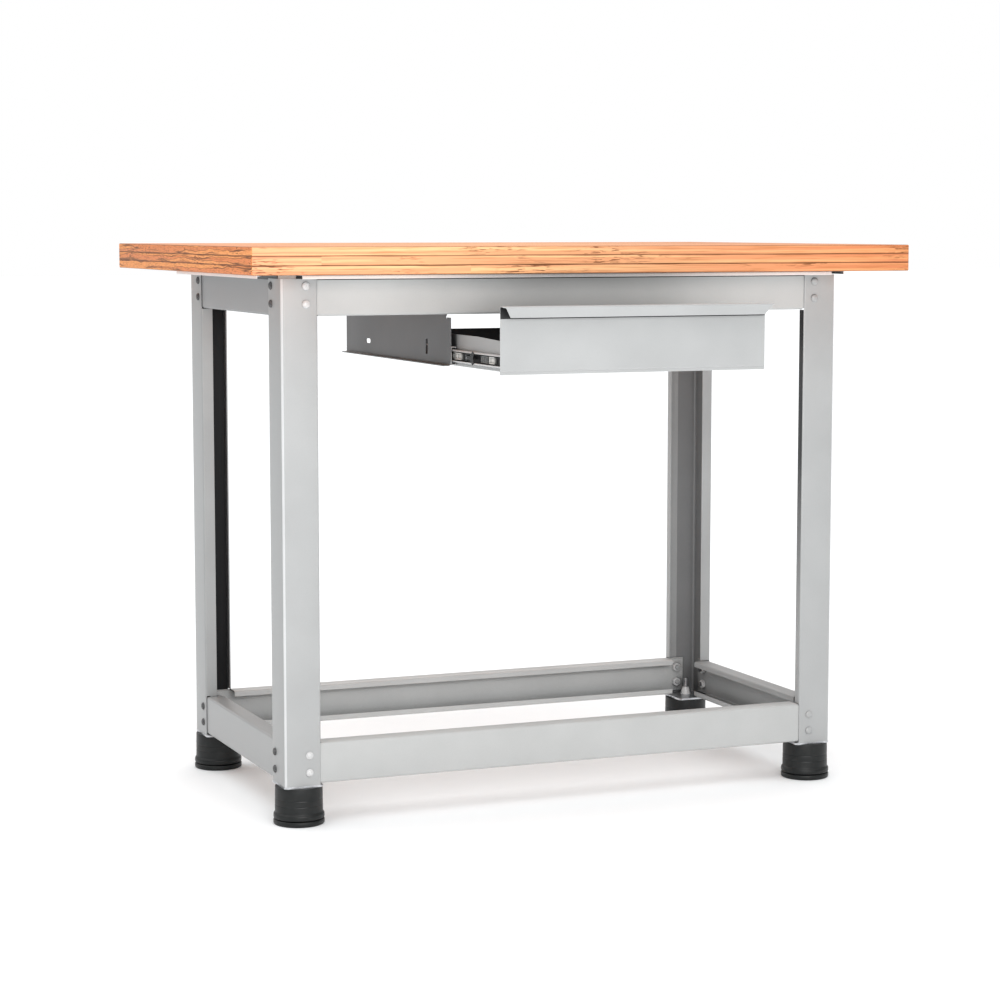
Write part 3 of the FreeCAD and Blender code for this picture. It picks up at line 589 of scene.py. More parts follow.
def rough_skin(name, colour, other, scale, roughness, shine=0.5):
    """Uneven skin: two colours in soft patches, at so many patches a metre."""
    material, tree, shader, place = start_material(name)
    patch = noise(tree, place.outputs["Object"], scale, detail=4.0)
    base = blend(tree, ramp(tree, patch, 0.4, 0.7), colour, other)
    tree.links.new(base, shader.inputs["Base Color"])
    rough = ramp(tree, patch, 0.3, 0.7, roughness - 0.08, roughness + 0.08)
    tree.links.new(rough, shader.inputs["Roughness"])
    shader.inputs["Specular IOR Level"].default_value = shine
    relief(tree, shader, patch, strength=0.3, distance=0.00008)
    return material


channel_painted_shade = rough_skin("channel_painted_shade", CHANNEL_SHADE_BLACK, DARK_SHADE_GREY,
                          scale=320.0, roughness=0.40, shine=0.2)
tumbled_zinc = rough_skin("tumbled_zinc", TUMBLED, TUMBLED_DULL, scale=500.0, roughness=0.38)
side_bolt_shade = rough_skin("side_bolt_painted_shade", DARK_SHADE_GREY, SIDE_BOLT_PATCH,
                       scale=700.0, roughness=0.40, shine=0.3)

# %% [markdown]
# The feet and the slide levers are moulded plastic, black with carbon. The mould leaves
# an even fine grain, and handling polishes the edges a little. The grain could be cut into
# the mesh, but it is so fine that a bump looks the same.

# %% Moulded plastics
BLACK_MOULDED = (0.006, 0.007, 0.007, 1.0)
BLACK_WORN = (0.030, 0.032, 0.032, 1.0)
LEVER_BLACK = (0.002, 0.002, 0.002, 1.0)
GREY_MOULDED = (0.10, 0.10, 0.10, 1.0)
GREY_SPECKLED = (0.35, 0.35, 0.34, 1.0)
WHITE_MOULDED = (0.78, 0.77, 0.74, 1.0)
WHITE_GREYED = (0.60, 0.59, 0.56, 1.0)
POCKET_SHADE = (0.12, 0.12, 0.115, 1.0)
POCKET_REACH = 0.006
MOULD_CLOUDS = 60.0
MOULD_GRAIN = 1500.0
MOULD_EDGE_RADIUS = 0.0006
MOULD_SHINE = 0.35


def moulded(name, colour, other, roughness, pocket_shade=None):
    """Moulded plastic whose edges and cloudy patches lean to the other colour.

    A colour given for the pockets is painted in them, a few millimetres deep, as shade.
    """
    material, tree, shader, place = start_material(name)
    at = place.outputs["Object"]
    cloud = noise(tree, at, MOULD_CLOUDS, detail=3.0)
    base = blend(tree, ramp(tree, cloud, 0.45, 0.8, 0.0, 0.3), colour, other)
    base = blend(tree, times(tree, edge_mask(tree, MOULD_EDGE_RADIUS), 0.6), base, other)
    # Painted shade in the pockets, where a colour is given.
    if pocket_shade is not None:
        base = blend(tree, ramp(tree, openness(tree, POCKET_REACH), 0.6, 0.95), pocket_shade, base)
    tree.links.new(base, shader.inputs["Base Color"])
    rough = ramp(tree, cloud, 0.3, 0.7, roughness - 0.05, roughness + 0.05)
    tree.links.new(rough, shader.inputs["Roughness"])
    shader.inputs["Specular IOR Level"].default_value = MOULD_SHINE
    relief(tree, shader, noise(tree, at, MOULD_GRAIN, detail=2.0), strength=0.3, distance=0.00004)
    return material


black_plastic = moulded("black_moulded_plastic", BLACK_MOULDED, BLACK_WORN, roughness=0.42)
white_plastic = moulded("white_moulded_nylon", WHITE_MOULDED, WHITE_GREYED, roughness=0.45,
                        pocket_shade=POCKET_SHADE)
grey_plastic = moulded("grey_moulded_nylon", GREY_MOULDED, GREY_SPECKLED, roughness=0.50)
lever_plastic = moulded("polished_lever_plastic", LEVER_BLACK, BLACK_MOULDED, roughness=0.24)

# %% [markdown]
# The top is timber glued in three layers, each from long staves. Long fibres make bands and
# streaks: noise stretched a hundred times along the grain. Pores show as dark dashes where
# the wood is open. Dark glue lines run between the layers, and a dark brown line is painted
# on the eased arrises, as shade. At the two ends the streaks wander, because the cut crosses
# them. Shade is painted along the top as well: it is darker and redder towards the right end,
# a little so near the left end, and its upward face leans to the middle tone. A picture of
# wood would be quicker, but this has no seams and no repeats, and it wraps round every edge.

# %% Colours and lengths of the timber
GRAIN_STRETCH = 0.012
TIMBER_LIGHT = (0.92, 0.51, 0.245, 1.0)
TIMBER_MIDDLE = (0.76, 0.345, 0.165, 1.0)
TIMBER_DARK = (0.42, 0.150, 0.045, 1.0)
TIMBER_END = (0.98, 0.72, 0.50, 1.0)
TIMBER_RIGHT_SHADE = (0.80, 0.62, 0.54, 1.0)
TIMBER_LEFT_SHADE = (0.97, 0.83, 0.86, 1.0)
GLUE_BROWN = (0.13, 0.045, 0.015, 1.0)
PORE_BROWN = (0.17, 0.055, 0.015, 1.0)
STAVE_LENGTH = 1.4
STAVE_START = 10.0
STAVE_SHIFT = 0.061
GLUE_LINE = 0.0014
GLUE_CORE = 0.0006
TIMBER_SHINE = 0.25
LENGTHWISE_SHADE = (((0.05, 0.45), TIMBER_RIGHT_SHADE), ((-0.30, -0.48), TIMBER_LEFT_SHADE))


# %% Shifts, tints and single values
def raised(tree, place, height):
    """Coordinates moved up by a height in metres, which pushes a pattern up or down."""
    lift = add_node(tree, "ShaderNodeCombineXYZ", {2: height})
    return vector_math(tree, "ADD", place, lift.outputs[0])


def tinted(tree, factor, tone, tint):
    """Tone multiplied by a tint, as far as factor says."""
    return blend(tree, factor, tone, blend(tree, 1.0, tone, tint, "MULTIPLY"))


def single(tree, operation, value):
    """Size or whole part of one value."""
    return add_node(tree, "ShaderNodeMath", {0: value}, operation=operation).outputs[0]


# %% Timber
def timber(name, seed, low, high):
    """Timber of one layer between the heights low and high, in metres; seed shifts its grain.

    Its grain is noise taken at (s x, y, z), with s far below 1, so that each feature is
    1 / s times as long as it is high. On the ends it is taken at (x, 1.3 s y, z).
    """
    material, tree, shader, place = start_material(name)
    spot = add_node(tree, "ShaderNodeSeparateXYZ", {0: place.outputs["Object"]})
    facing = add_node(tree, "ShaderNodeSeparateXYZ", {0: place.outputs["Normal"]})
    moved = vector_math(tree, "ADD", place.outputs["Object"], (seed, seed, 0.0))
    on_end = ramp(tree, single(tree, "ABSOLUTE", facing.outputs["X"]), 0.6, 0.8)
    off_end = ramp(tree, on_end, 0.0, 1.0, 1.0, 0.0)

    # Staves: the whole part of x over the stave's length picks each stave's own tone and grain.
    along = arithmetic(tree, "ADD", spot.outputs["X"], STAVE_START + seed * STAVE_SHIFT)
    count = single(tree, "FLOOR", arithmetic(tree, "DIVIDE", along, STAVE_LENGTH))
    stave = add_node(tree, "ShaderNodeTexWhiteNoise", {"W": arithmetic(tree, "ADD", count, seed)},
                     noise_dimensions="1D").outputs["Value"]

    # Slow waves push the grain up and down, more on the ends than along the front.
    wave = arithmetic(tree, "SUBTRACT", noise(tree, moved, 16.0, detail=2.0), 0.5)
    sway = times(tree, wave, ramp(tree, on_end, 0.0, 1.0, 0.0022, 0.011))
    waved = raised(tree, raised(tree, moved, stave), sway)

    def grain(scale, detail, stretch=GRAIN_STRETCH):
        """Noise drawn out along x, and on the ends along y."""
        along_x = noise(tree, scaled(tree, waved, (stretch, 1.0, 1.0)), scale, detail)
        along_y = noise(tree, scaled(tree, waved, (1.0, stretch * 1.3, 1.0)), scale, detail)
        return blend(tree, on_end, along_x, along_y)

    band = grain(150.0, detail=2.0)
    fine = grain(620.0, detail=3.0, stretch=0.02)
    pore = grain(950.0, detail=1.0, stretch=0.07)
    tone = blend(tree, ramp(tree, band, 0.45, 0.55), TIMBER_MIDDLE, TIMBER_LIGHT)
    tone = blend(tree, ramp(tree, stave, 0.0, 1.0, 0.0, 0.14), tone, TIMBER_MIDDLE)
    # Painted shade along the top: darker and redder towards the right end, a little so near the
    # left end.
    for span, shade_tint in LENGTHWISE_SHADE:
        shade_reach = times(tree, ramp(tree, spot.outputs["X"], *span), off_end)
        tone = tinted(tree, shade_reach, tone, shade_tint)
    tone = blend(tree, ramp(tree, fine, 0.52, 0.66, 0.0, 0.50), tone, TIMBER_DARK)

    # Pores lie open in patches along the front, and more evenly on the ends.
    cloud = noise(tree, scaled(tree, moved, (0.35, 1.0, 1.0)), 22.0, detail=2.0)
    patches = arithmetic(tree, "MAXIMUM", ramp(tree, cloud, 0.50, 0.60), times(tree, on_end, 0.45))
    pores = times(tree, ramp(tree, pore, 0.56, 0.62, 0.0, 0.9), patches)
    tone = blend(tree, pores, tone, PORE_BROWN)
    tone = tinted(tree, on_end, tone, TIMBER_END)
    # Painted shade: the upward face leans up to a third of the way to the middle tone.
    tone = blend(tree, ramp(tree, facing.outputs["Z"], 0.9, 1.0, 0.0, 0.35), tone, TIMBER_MIDDLE)

    # The ends show dark lines, one wherever the band passes through one half.
    from_half = single(tree, "ABSOLUTE", arithmetic(tree, "SUBTRACT", band, 0.5))
    ring = times(tree, ramp(tree, from_half, 0.0, 0.034, 1.0, 0.0), on_end)
    tone = blend(tree, ring, tone, GLUE_BROWN)

    # Glue lines between the layers, and a dark line on the arrises, painted as shade.
    wander = arithmetic(tree, "ADD", times(tree, arithmetic(tree, "SUBTRACT", fine, 0.5), 0.0012),
                        times(tree, sway, times(tree, on_end, 0.25)))
    level = arithmetic(tree, "ADD", spot.outputs["Z"], wander)
    above = ramp(tree, level, low + GLUE_CORE, low + GLUE_LINE, 1.0, 0.0)
    below = ramp(tree, level, high - GLUE_LINE, high - GLUE_CORE, 0.0, 1.0)
    glue = times(tree, arithmetic(tree, "MAXIMUM", above, below),
                 ramp(tree, fine, 0.35, 0.6, 0.55, 1.0))
    upright = single(tree, "ABSOLUTE", facing.outputs["Z"])
    arris = times(tree, ramp(tree, upright, 0.25, 0.5, 0.0, 0.6),
                  ramp(tree, upright, 0.93, 0.995, 1.0, 0.0))
    tone = blend(tree, arithmetic(tree, "MAXIMUM", glue, arris), tone, GLUE_BROWN)
    tree.links.new(tone, shader.inputs["Base Color"])
    shader.inputs["Specular IOR Level"].default_value = TIMBER_SHINE
    tree.links.new(ramp(tree, band, 0.3, 0.7, 0.48, 0.60), shader.inputs["Roughness"])
    relief(tree, shader, fine, strength=0.35, distance=0.00008)
    return material


# %% Timber of the three layers
# The top's own two faces have no glue line, so theirs is moved well outside of the wood.
LAYERS = ("worktop_lower_layer", "worktop_middle_layer", "worktop_upper_layer")
GLUE_MARGIN = 0.05
SEED_STEP = 3.7
timbers = {}
for index, node in enumerate(LAYERS):
    layer_low, layer_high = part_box(node)
    low = layer_low[2] if node != LAYERS[0] else layer_low[2] - GLUE_MARGIN
    high = layer_high[2] if node != LAYERS[-1] else layer_high[2] + GLUE_MARGIN
    timbers[node] = timber("timber_" + node.split("_")[1], SEED_STEP * index, low, high)
print("finishes:", [material.name for material in bpy.data.materials if material.use_nodes])

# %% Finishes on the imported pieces
FINISHES = {
    "grey_paint": grey_coat,
    "zinc_steel": rolled_zinc,
    "black_plastic": black_plastic,
    "white_nylon": white_plastic,
}
for part in frame["record"]["subparts"]:
    node = part["node"]
    finish = FINISHES.get(part["material_slot"]) or timbers[node]
    # The hangers take a near black grey: painted shade under the top.
    if node.endswith("drawer_hanger"):
        finish = hanger_shade_coat
    elif node.endswith("release_lever"):
        finish = lever_plastic
    piece = frame["nodes"][node]
    piece.data.materials.clear()
    piece.data.materials.append(finish)

# %% [markdown]
# ## The wooden top
#
# Each layer is a slab with softened edges. Its outline is a rounded rectangle, and its
# rows are that outline drawn in by a little more for each step of the edge. Only the
# outer edges of the whole top are eased; where two layers meet there is just the fine
# groove that sanding leaves along a glue line.

# %% Slabs
ARRIS = 1.6
GLUE_GROOVE = 0.15
CORNER_RADIUS = 2.5
CORNER_STEPS = 7
EASE_STEPS = 5


def slab(low, high, bottom_ease, top_ease):
    """Closed slab between two corners, as a grid whose rows are drawn-in outlines.

    The outline is a corner centre plus (radius - inset) times (cos a, sin a). Along an
    eased edge the inset is ease (1 - sin b) and the height leaves it by ease (1 - cos b).
    """
    angle = np.linspace(0, np.pi / 2, CORNER_STEPS)
    quarter = angle[None, :] + np.arange(4)[:, None] * np.pi / 2
    sign = np.array([(1, 1), (-1, 1), (-1, -1), (1, -1)])
    half = (high[:2] - low[:2]) / 2
    middle = (high[:2] + low[:2]) / 2
    centre = middle + sign * (half - CORNER_RADIUS)
    turn = np.linspace(0, np.pi / 2, EASE_STEPS)
    inset = np.concatenate([bottom_ease * (1 - np.sin(turn)),
                            top_ease * (1 - np.sin(turn[::-1]))])
    height = np.concatenate([low[2] + bottom_ease * (1 - np.cos(turn)),
                             high[2] - top_ease * (1 - np.cos(turn[::-1]))])
    radius = (CORNER_RADIUS - inset)[:, None, None]
    across = centre[None, :, 0, None] + radius * np.cos(quarter)
    along = centre[None, :, 1, None] + radius * np.sin(quarter)
    up = np.broadcast_to(height[:, None, None], across.shape)
    rows = np.stack([across, along, up], axis=-1).reshape(len(height), -1, 3)
    hub = np.broadcast_to(middle, (rows.shape[1], 2))
    bottom = np.column_stack([hub, np.full(len(hub), low[2])])
    top = np.column_stack([hub, np.full(len(hub), high[2])])
    rows = np.concatenate([bottom[None], rows, top[None]])
    return rows, grid_quads(rows.shape[0], rows.shape[1])


for index, node in enumerate(LAYERS):
    low, high = millimetre_box(node)
    bottom_ease = ARRIS if index == 0 else GLUE_GROOVE
    top_ease = ARRIS if index == len(LAYERS) - 1 else GLUE_GROOVE
    mesh_piece(node.replace("worktop", "timber"), [slab(low, high, bottom_ease, top_ease)],
               "frame", [node], timbers[node])

# %% [markdown]
# ## Posts
#
# A post is an angle with a lip on both free edges. One line goes from lip to lip, round
# the 6 mm bend of the corner. Where the rails run into the post its lips are cut away, so
# the cells there are left out. The other three posts are mirror images of the first. Light
# and shade are painted on them: the inside of a post is painted dark, except a band next to
# the lip of its face, and the rear left post almost black inside. The side faces are painted
# a darker grey, the lips of the front posts darker towards the top, and the outer bend pale,
# as a highlight. Booleans could cut the lips as well, but leaving cells out keeps the faces
# even for the thickness and the bevel that follow.

# %% Post section
SHEET = 2.0
PLAY = 1.0
POST_FACE_LIP = 14.0
POST_SIDE_LIP = 18.5
POST_BEND = 6.0
POST_STEPS = 8
LIP_BEND = 3.0
LIP_CLEAR = 1.2
ZONE_CLEAR = 1.5
SIDE_CLEAR = 1.0
# The next two widths, in millimetres, are the band kept free of painted shade inside a post and the
# reach of the painted highlight on its bend.
LIT_BAND = 20.0
HIGHLIGHT_REACH = 3.6
SIDES = (("front_left", 1, 1), ("front_right", -1, 1), ("rear_left", 1, -1), ("rear_right", -1, -1))
post_low, post_high = millimetre_box("front_left_post")
lower_low, lower_high = millimetre_box("front_lower_rail")
upper_low = millimetre_box("front_top_rail")[0]
post_path = [(post_low[0] + POST_SIDE_LIP, post_high[1]), (post_low[0], post_high[1]),
             (post_low[0], post_low[1]), (post_high[0], post_low[1]),
             (post_high[0], post_low[1] + POST_FACE_LIP)]
post_line = fold_line(post_path, (LIP_BEND, POST_BEND, LIP_BEND), POST_STEPS)
post_line = with_row(post_line, 2, (post_high[0] - LIT_BAND, post_low[1]), POST_STEPS)
rail_levels = ((lower_low[2] - PLAY, lower_high[2] + PLAY), (upper_low[2] - PLAY, post_high[2]))
post_stations = [post_low[2], *rail_levels[0], *rail_levels[1]]
post_cuts = []
for start, end in rail_levels:
    face_lip = ((post_high[0] - LIP_CLEAR, post_low[1] + LIP_CLEAR, start),
                (post_high[0] + PLAY, post_high[1], end))
    side_lip = ((post_low[0] + LIP_CLEAR, post_high[1] - LIP_CLEAR, start),
                (post_high[0], post_high[1] + PLAY, end))
    post_cuts += [face_lip, side_lip]
post_grid = cut_away(carried(post_line, post_stations, (0, 1, 2)), post_cuts)

# %% Post zones and pieces
# Five zones have two finishes each, for the outer and the inner side.
cell = cell_middles(post_grid)
on_lip = (cell[:, 0] > post_high[0] - ZONE_CLEAR) & (cell[:, 1] > post_low[1] + ZONE_CLEAR)
near_edge = (cell[:, 1] < post_low[1] + ZONE_CLEAR) & (cell[:, 0] > post_high[0] - LIT_BAND)
# The outer bend is given a pale coat: a painted highlight.
on_bend = (cell[:, 0] < post_low[0] + HIGHLIGHT_REACH) & (cell[:, 1] < post_low[1] + HIGHLIGHT_REACH)
on_side = (cell[:, 0] < post_low[0] + SIDE_CLEAR) & ~on_bend
step = np.select([on_lip, near_edge, on_bend, on_side], [2, 4, 6, 8], 0)
# Painted shade: inside, a post is dark except a band next to the lip of its face, and the rear left
# post almost black; the side faces are a darker grey.
for corner, side_x, side_y in SIDES:
    hollow = deep_shade_coat if corner == "rear_left" else inner_shade_coat
    edge_side = deep_shade_coat if corner == "rear_left" else grey_coat
    # The lips of the front posts are painted darker towards the top, as shade.
    lip = top_shade_lip_coat if side_y > 0 else lip_coat
    coats = (grey_coat, hollow, lip, lip, grey_coat, edge_side, bend_highlight_coat, hollow,
             side_shade_coat, hollow)
    sheet_piece(corner + "_folded_post", [flipped(post_grid, (side_x, side_y, 1))], "frame",
                [corner + "_post"], coats, SHEET, step)

# %% [markdown]
# ## Rails
#
# A lower rail is a lipped channel that opens to the middle of the bench. A top rail has a
# return at its foot, a web, and a flange that reaches out over the post to carry the top
# and ends in a small turned-down edge. Both stop their inner flanges short of the posts.
# The turned-down edge and the flange are painted pale, as light, and the web just under the
# flange dark, as their shadow; the greys of the rails are painted light and shade as well.
# One function serves the front and one side, and the rails across from them are mirror images.

# %% Rail sections
RAIL_BEND = 4.0
LOWER_LIP = 9.0
TOP_FLANGE = 31.0
TOP_RETURN = 15.0
TOP_LIP = 7.0
FLANGE_POCKET = 9.0
WEB_CLEAR = 0.5
FOOT_CUT = 3 * SHEET
FLANGE_CLEAR = 3.0
FAR = 1000.0


def flange_ends(across, along, inner_face, stop, low, high):
    """The two boxes past plus and minus stop in which an inner flange is cut away."""
    boxes = []
    for span in ((-FAR, -stop), (stop, FAR)):
        start, end = [0.0, 0.0, low], [0.0, 0.0, high]
        start[across], end[across] = inner_face, 0.0
        start[along], end[along] = span
        boxes.append((start, end))
    return boxes


def lower_rail(low, high, across, along, stop):
    """Lipped channel; across and along are its axes, and its flanges end at plus or minus stop."""
    face, edge, bottom, top = low[across], high[across], low[2], high[2]
    path = [(edge, top - LOWER_LIP), (edge, top), (face, top), (face, bottom), (edge, bottom),
            (edge, bottom + LOWER_LIP)]
    line = fold_line(path, (LIP_BEND, RAIL_BEND, RAIL_BEND, LIP_BEND))
    grid = carried(line, [low[along], -stop, stop, high[along]], (across, 2, along))
    return cut_away(grid, flange_ends(across, along, face + SHEET, stop, bottom - PLAY, top + PLAY))


def top_rail(low, high, across, along, stop):
    """Return, web, outward flange and turned-down edge, in one line from inside to outside."""
    edge, top = low[across], high[2]
    foot, web = low[2] + SHEET, low[across] + TOP_FLANGE + SHEET
    path = [(web + TOP_RETURN, foot), (web, foot), (web, top), (edge, top), (edge, top - TOP_LIP)]
    line = fold_line(path, (RAIL_BEND - SHEET, RAIL_BEND, LIP_BEND))
    line = with_row(line, 1, (web, top - FLANGE_POCKET))
    grid = carried(line, [low[along], -stop, stop, high[along]], (across, 2, along))
    return cut_away(grid, flange_ends(across, along, web + WEB_CLEAR, stop,
                                      low[2] - PLAY, low[2] + FOOT_CUT))


def rail_steps(grid, across, low, high):
    """For each cell 0 on flange and edge, 1 on web and return, 2 on the web under the flange."""
    middle = cell_middles(grid)
    behind = middle[:, across] > low[across] + TOP_FLANGE - FLANGE_CLEAR
    pocket = behind & (middle[:, 2] > high[2] - FLANGE_POCKET)
    return behind.astype(int) + pocket.astype(int)


# %% Rail pieces
stops = (-post_high[0] - PLAY, -post_high[1] - PLAY)
# Painted light and shade: front and rear rails are paler, as light, and side rails darker, their
# top rails darkest, as the shade under the top.
RAIL_COATS = {"front": (lit_long_rail_coat, lit_long_rail_coat), "rear": (lit_rear_rail_coat, lit_rear_rail_coat),
              "left": (side_shade_coat, side_top_shade_coat), "right": (side_shade_coat, side_top_shade_coat)}
for first, second, across, along, signs in (("front", "rear", 1, 0, (1, -1, 1)),
                                            ("left", "right", 0, 1, (-1, 1, 1))):
    for level, make in (("lower", lower_rail), ("top", top_rail)):
        low, high = millimetre_box(f"{first}_{level}_rail")
        grid = make(low, high, across, along, stops[along])
        for side, turned_grid in ((first, grid), (second, flipped(grid, signs))):
            lower_coat, upper_coat = RAIL_COATS[side]
            coats, step = (lower_coat, lower_coat), None
            if level == "top":
                # Painted light on the flange and its turned-down edge, and painted shadow on the
                # web under the flange.
                coats = (flange_light_coat, flange_light_coat, upper_coat, dark_shade_coat)
                step = rail_steps(grid, across, low, high)
            sheet_piece(f"{side}_{level}_folded_rail", [turned_grid], "frame",
                        [f"{side}_{level}_rail"], coats, SHEET, step)

# %% [markdown]
# ## Drawer
#
# The tray's bottom and sides are one sheet folded up twice, and its two ends are welded
# plates. The front is folded at its top into a finger pull. Its line is the same all along,
# but its half width is not: the pull flares out past the panel, then tapers to its mitred
# ends. So every row of the grid has a width of its own, a function of where it lies. The
# hollow of the pull and the inside of the tray are painted near black, as the shade in them.

# %% Drawer tray
TRAY_SHEET = 1.0
TRAY_BEND = 2.5
SIDE_FALL = 4.5
FALL_RUN = 135.0
ONE_QUAD = np.array([[0, 1, 2, 3]])
tray_low, tray_high = millimetre_box("drawer_tray")
drawer_middle = (tray_low + tray_high) / 2
tray_path = [(tray_low[0], tray_high[2]), (tray_low[0], tray_low[2]),
             (tray_high[0], tray_low[2]), (tray_high[0], tray_high[2])]
tray_stations = [tray_low[1], tray_low[1] + FALL_RUN, tray_high[1]]
tray_line = fold_line(tray_path, (TRAY_BEND, TRAY_BEND))
tray_points, tray_quads = carried(tray_line, tray_stations, (0, 2, 1))
fall = SIDE_FALL * np.clip(1 - (tray_points[0, :, 1] - tray_low[1]) / FALL_RUN, 0, 1)
tray_points[[0, -1], :, 2] -= fall


def end_wall(low, high, y, top):
    """Flat plate across the tray at one depth, its corners in turn seen from the front."""
    return np.array([(low[0], y, low[2]), (high[0], y, low[2]), (high[0], y, top),
                     (low[0], y, top)])


front_wall = end_wall(tray_low, tray_high, tray_low[1], tray_high[2] - SIDE_FALL)
rear_wall = end_wall(tray_low, tray_high, tray_high[1], tray_high[2])
tray_grids = [(tray_points, tray_quads), (front_wall, ONE_QUAD), (rear_wall, ONE_QUAD[:, ::-1])]
# The inside of the tray is painted near black, as shade.
sheet_piece("folded_tray", tray_grids, "drawer", ["drawer_tray"],
            (grey_coat, dark_shade_coat), TRAY_SHEET)

# %% Section of the drawer front
FRONT_SHEET = 1.2
FRONT_STEPS = 7
PULL_BEND = 2.4
PULL_RETURN = 8.0
PULL_DROP = 16.0
HOLLOW_BELOW = 2.0
CREASE_LEVEL = 4.7
CREASE_DEPTH = 0.6
CREASE_HALF = 1.6
CREASE_BENDS = (0.8, 0.6, 0.8)
low, high = millimetre_box("drawer_front")
crease = low[2] + CREASE_LEVEL
pull_foot = high[2] - PULL_DROP
front_path = [(high[1], low[2]), (high[1], crease - CREASE_HALF), (high[1] + CREASE_DEPTH, crease),
              (high[1], crease + CREASE_HALF), (high[1], high[2]), (low[1], high[2]),
              (low[1] + PULL_RETURN, pull_foot)]
front_line = fold_line(front_path, (*CREASE_BENDS, PULL_BEND, PULL_BEND), FRONT_STEPS)
front_line = with_row(front_line, 3, (high[1], pull_foot - HOLLOW_BELOW), FRONT_STEPS)

# %% Flare of the finger pull
FRONT_COLUMNS = 25
PANEL_STEP = 5.0
PULL_EARS = 3.0
PULL_MITRE = 14.0
PULL_CLEAR = 1.0
HOLLOW_CLEAR = 2.0
depth, level = front_line.T
wide = (high[0] - low[0]) / 2
down = high[2] - level
on_cap = np.interp(depth, [low[1], high[1] - FRONT_SHEET], [wide, wide - PANEL_STEP])
on_face = wide - PULL_EARS - down / PULL_DROP * (PULL_MITRE - PULL_EARS)
in_face = (depth < low[1] + PULL_RETURN + PULL_CLEAR) & (down > PULL_CLEAR)
row_half = np.where(in_face, on_face, on_cap)
across = np.linspace(-1, 1, FRONT_COLUMNS)
front_points, front_quads = carried(front_line, across, (1, 2, 0))
front_points[..., 0] = (low[0] + high[0]) / 2 + row_half[:, None] * across[None, :]
cell = cell_middles((front_points, front_quads))
in_pull = ((cell[:, 1] < high[1] - FRONT_SHEET - HOLLOW_CLEAR)
           | (cell[:, 2] > pull_foot - HOLLOW_BELOW))
# The inside of the pull's hollow is painted near black, as shade.
sheet_piece("folded_front", [(front_points, front_quads)], "drawer", ["drawer_front"],
            (grey_coat, grey_coat, dark_shade_coat), FRONT_SHEET, in_pull)

# %% [markdown]
# ## Ball slides
#
# Each slide is two rolled channels. The outer one is fixed to the hanger, the inner one
# to the drawer, and balls run between them in a cage. Rolling leaves round bends, much
# softer than those of a press. The right slide mirrors the left about the drawer's middle.
# The oblong peep hole in the outer web is a cell left out, between stations of its own.

# %% Slide members
SLIDE_SHEET = 1.2
OUTER_LIP = 2.3
INNER_LIP = 2.4
OUTER_BENDS = (1.8, 2.4, 2.4, 1.8)
INNER_BENDS = (1.8, 2.2, 2.2, 1.8)


def slide_member(node, lip, open_to_right, radii, stations=(), levels=()):
    """Rolled channel in a node's box, its open side to the right or the left.

    stations and levels, from the path's start on, are the edges of holes in its web.
    """
    low, high = millimetre_box(node)
    if open_to_right:
        edge, web, top, bottom = high[0], low[0], high[2], low[2]
    else:
        edge, web, top, bottom = low[0], high[0], low[2], high[2]
    inwards = lip if top > bottom else -lip
    path = [(edge, top - inwards), (edge, top), (web, top), (web, bottom), (edge, bottom),
            (edge, bottom + inwards)]
    line = fold_line(path, radii)
    half_way = len(line) // 2
    web_rows = np.array([(web, level) for level in levels], float).reshape(-1, 2)
    line = np.concatenate([line[:half_way], web_rows, line[half_way:]])
    return carried(line, [low[1], *stations, high[1]], (0, 2, 1))


# %% Both slides
PEEP_FROM_BACK = 106.0
PEEP_RISE = 7.5
PEEP_HALF = (12.0, 4.0)
MIRROR_X = (-1, 1, 1)
outer_low, outer_high = millimetre_box("left_slide_outer_member")
peep_y = millimetre_box("left_drawer_hanger")[1][1] - PEEP_FROM_BACK
peep_z = (outer_low[2] + outer_high[2]) / 2 + PEEP_RISE
peep_low = (outer_low[0] - PLAY, peep_y - PEEP_HALF[0], peep_z - PEEP_HALF[1])
peep_high = (outer_low[0] + PLAY, peep_y + PEEP_HALF[0], peep_z + PEEP_HALF[1])
outer_grid = slide_member("left_slide_outer_member", OUTER_LIP, True, OUTER_BENDS,
                          (peep_low[1], peep_high[1]), (peep_high[2], peep_low[2]))
outer_grid = cut_away(outer_grid, [(peep_low, peep_high)])
inner_grid = slide_member("left_slide_inner_member", INNER_LIP, False, INNER_BENDS)
# The inner side of each channel is painted near black, as the shade inside it.
slide_finishes = (tumbled_zinc, channel_painted_shade)
for side in ("left", "right"):
    if side == "right":
        outer_grid = flipped(outer_grid, MIRROR_X, drawer_middle)
        inner_grid = flipped(inner_grid, MIRROR_X, drawer_middle)
    sheet_piece(side + "_outer_channel", [outer_grid], "frame", [side + "_slide_outer_member"],
                slide_finishes, SLIDE_SHEET)
    sheet_piece(side + "_inner_channel", [inner_grid], "drawer", [side + "_slide_inner_member"],
                slide_finishes, SLIDE_SHEET)

# %% [markdown]
# The guide blocks are moulded with square pockets that save plastic. A block is a sheet of
# points over its face: the depth is nought on the ribs and full in the pockets, with a
# smooth step between, and the outermost points drop to the seat to make the side walls.

# %% Guide blocks
POCKET_DEPTH = 2.2
POCKET_SLOPE = 0.8
POCKET_POINTS = 10
RIB = 1.6


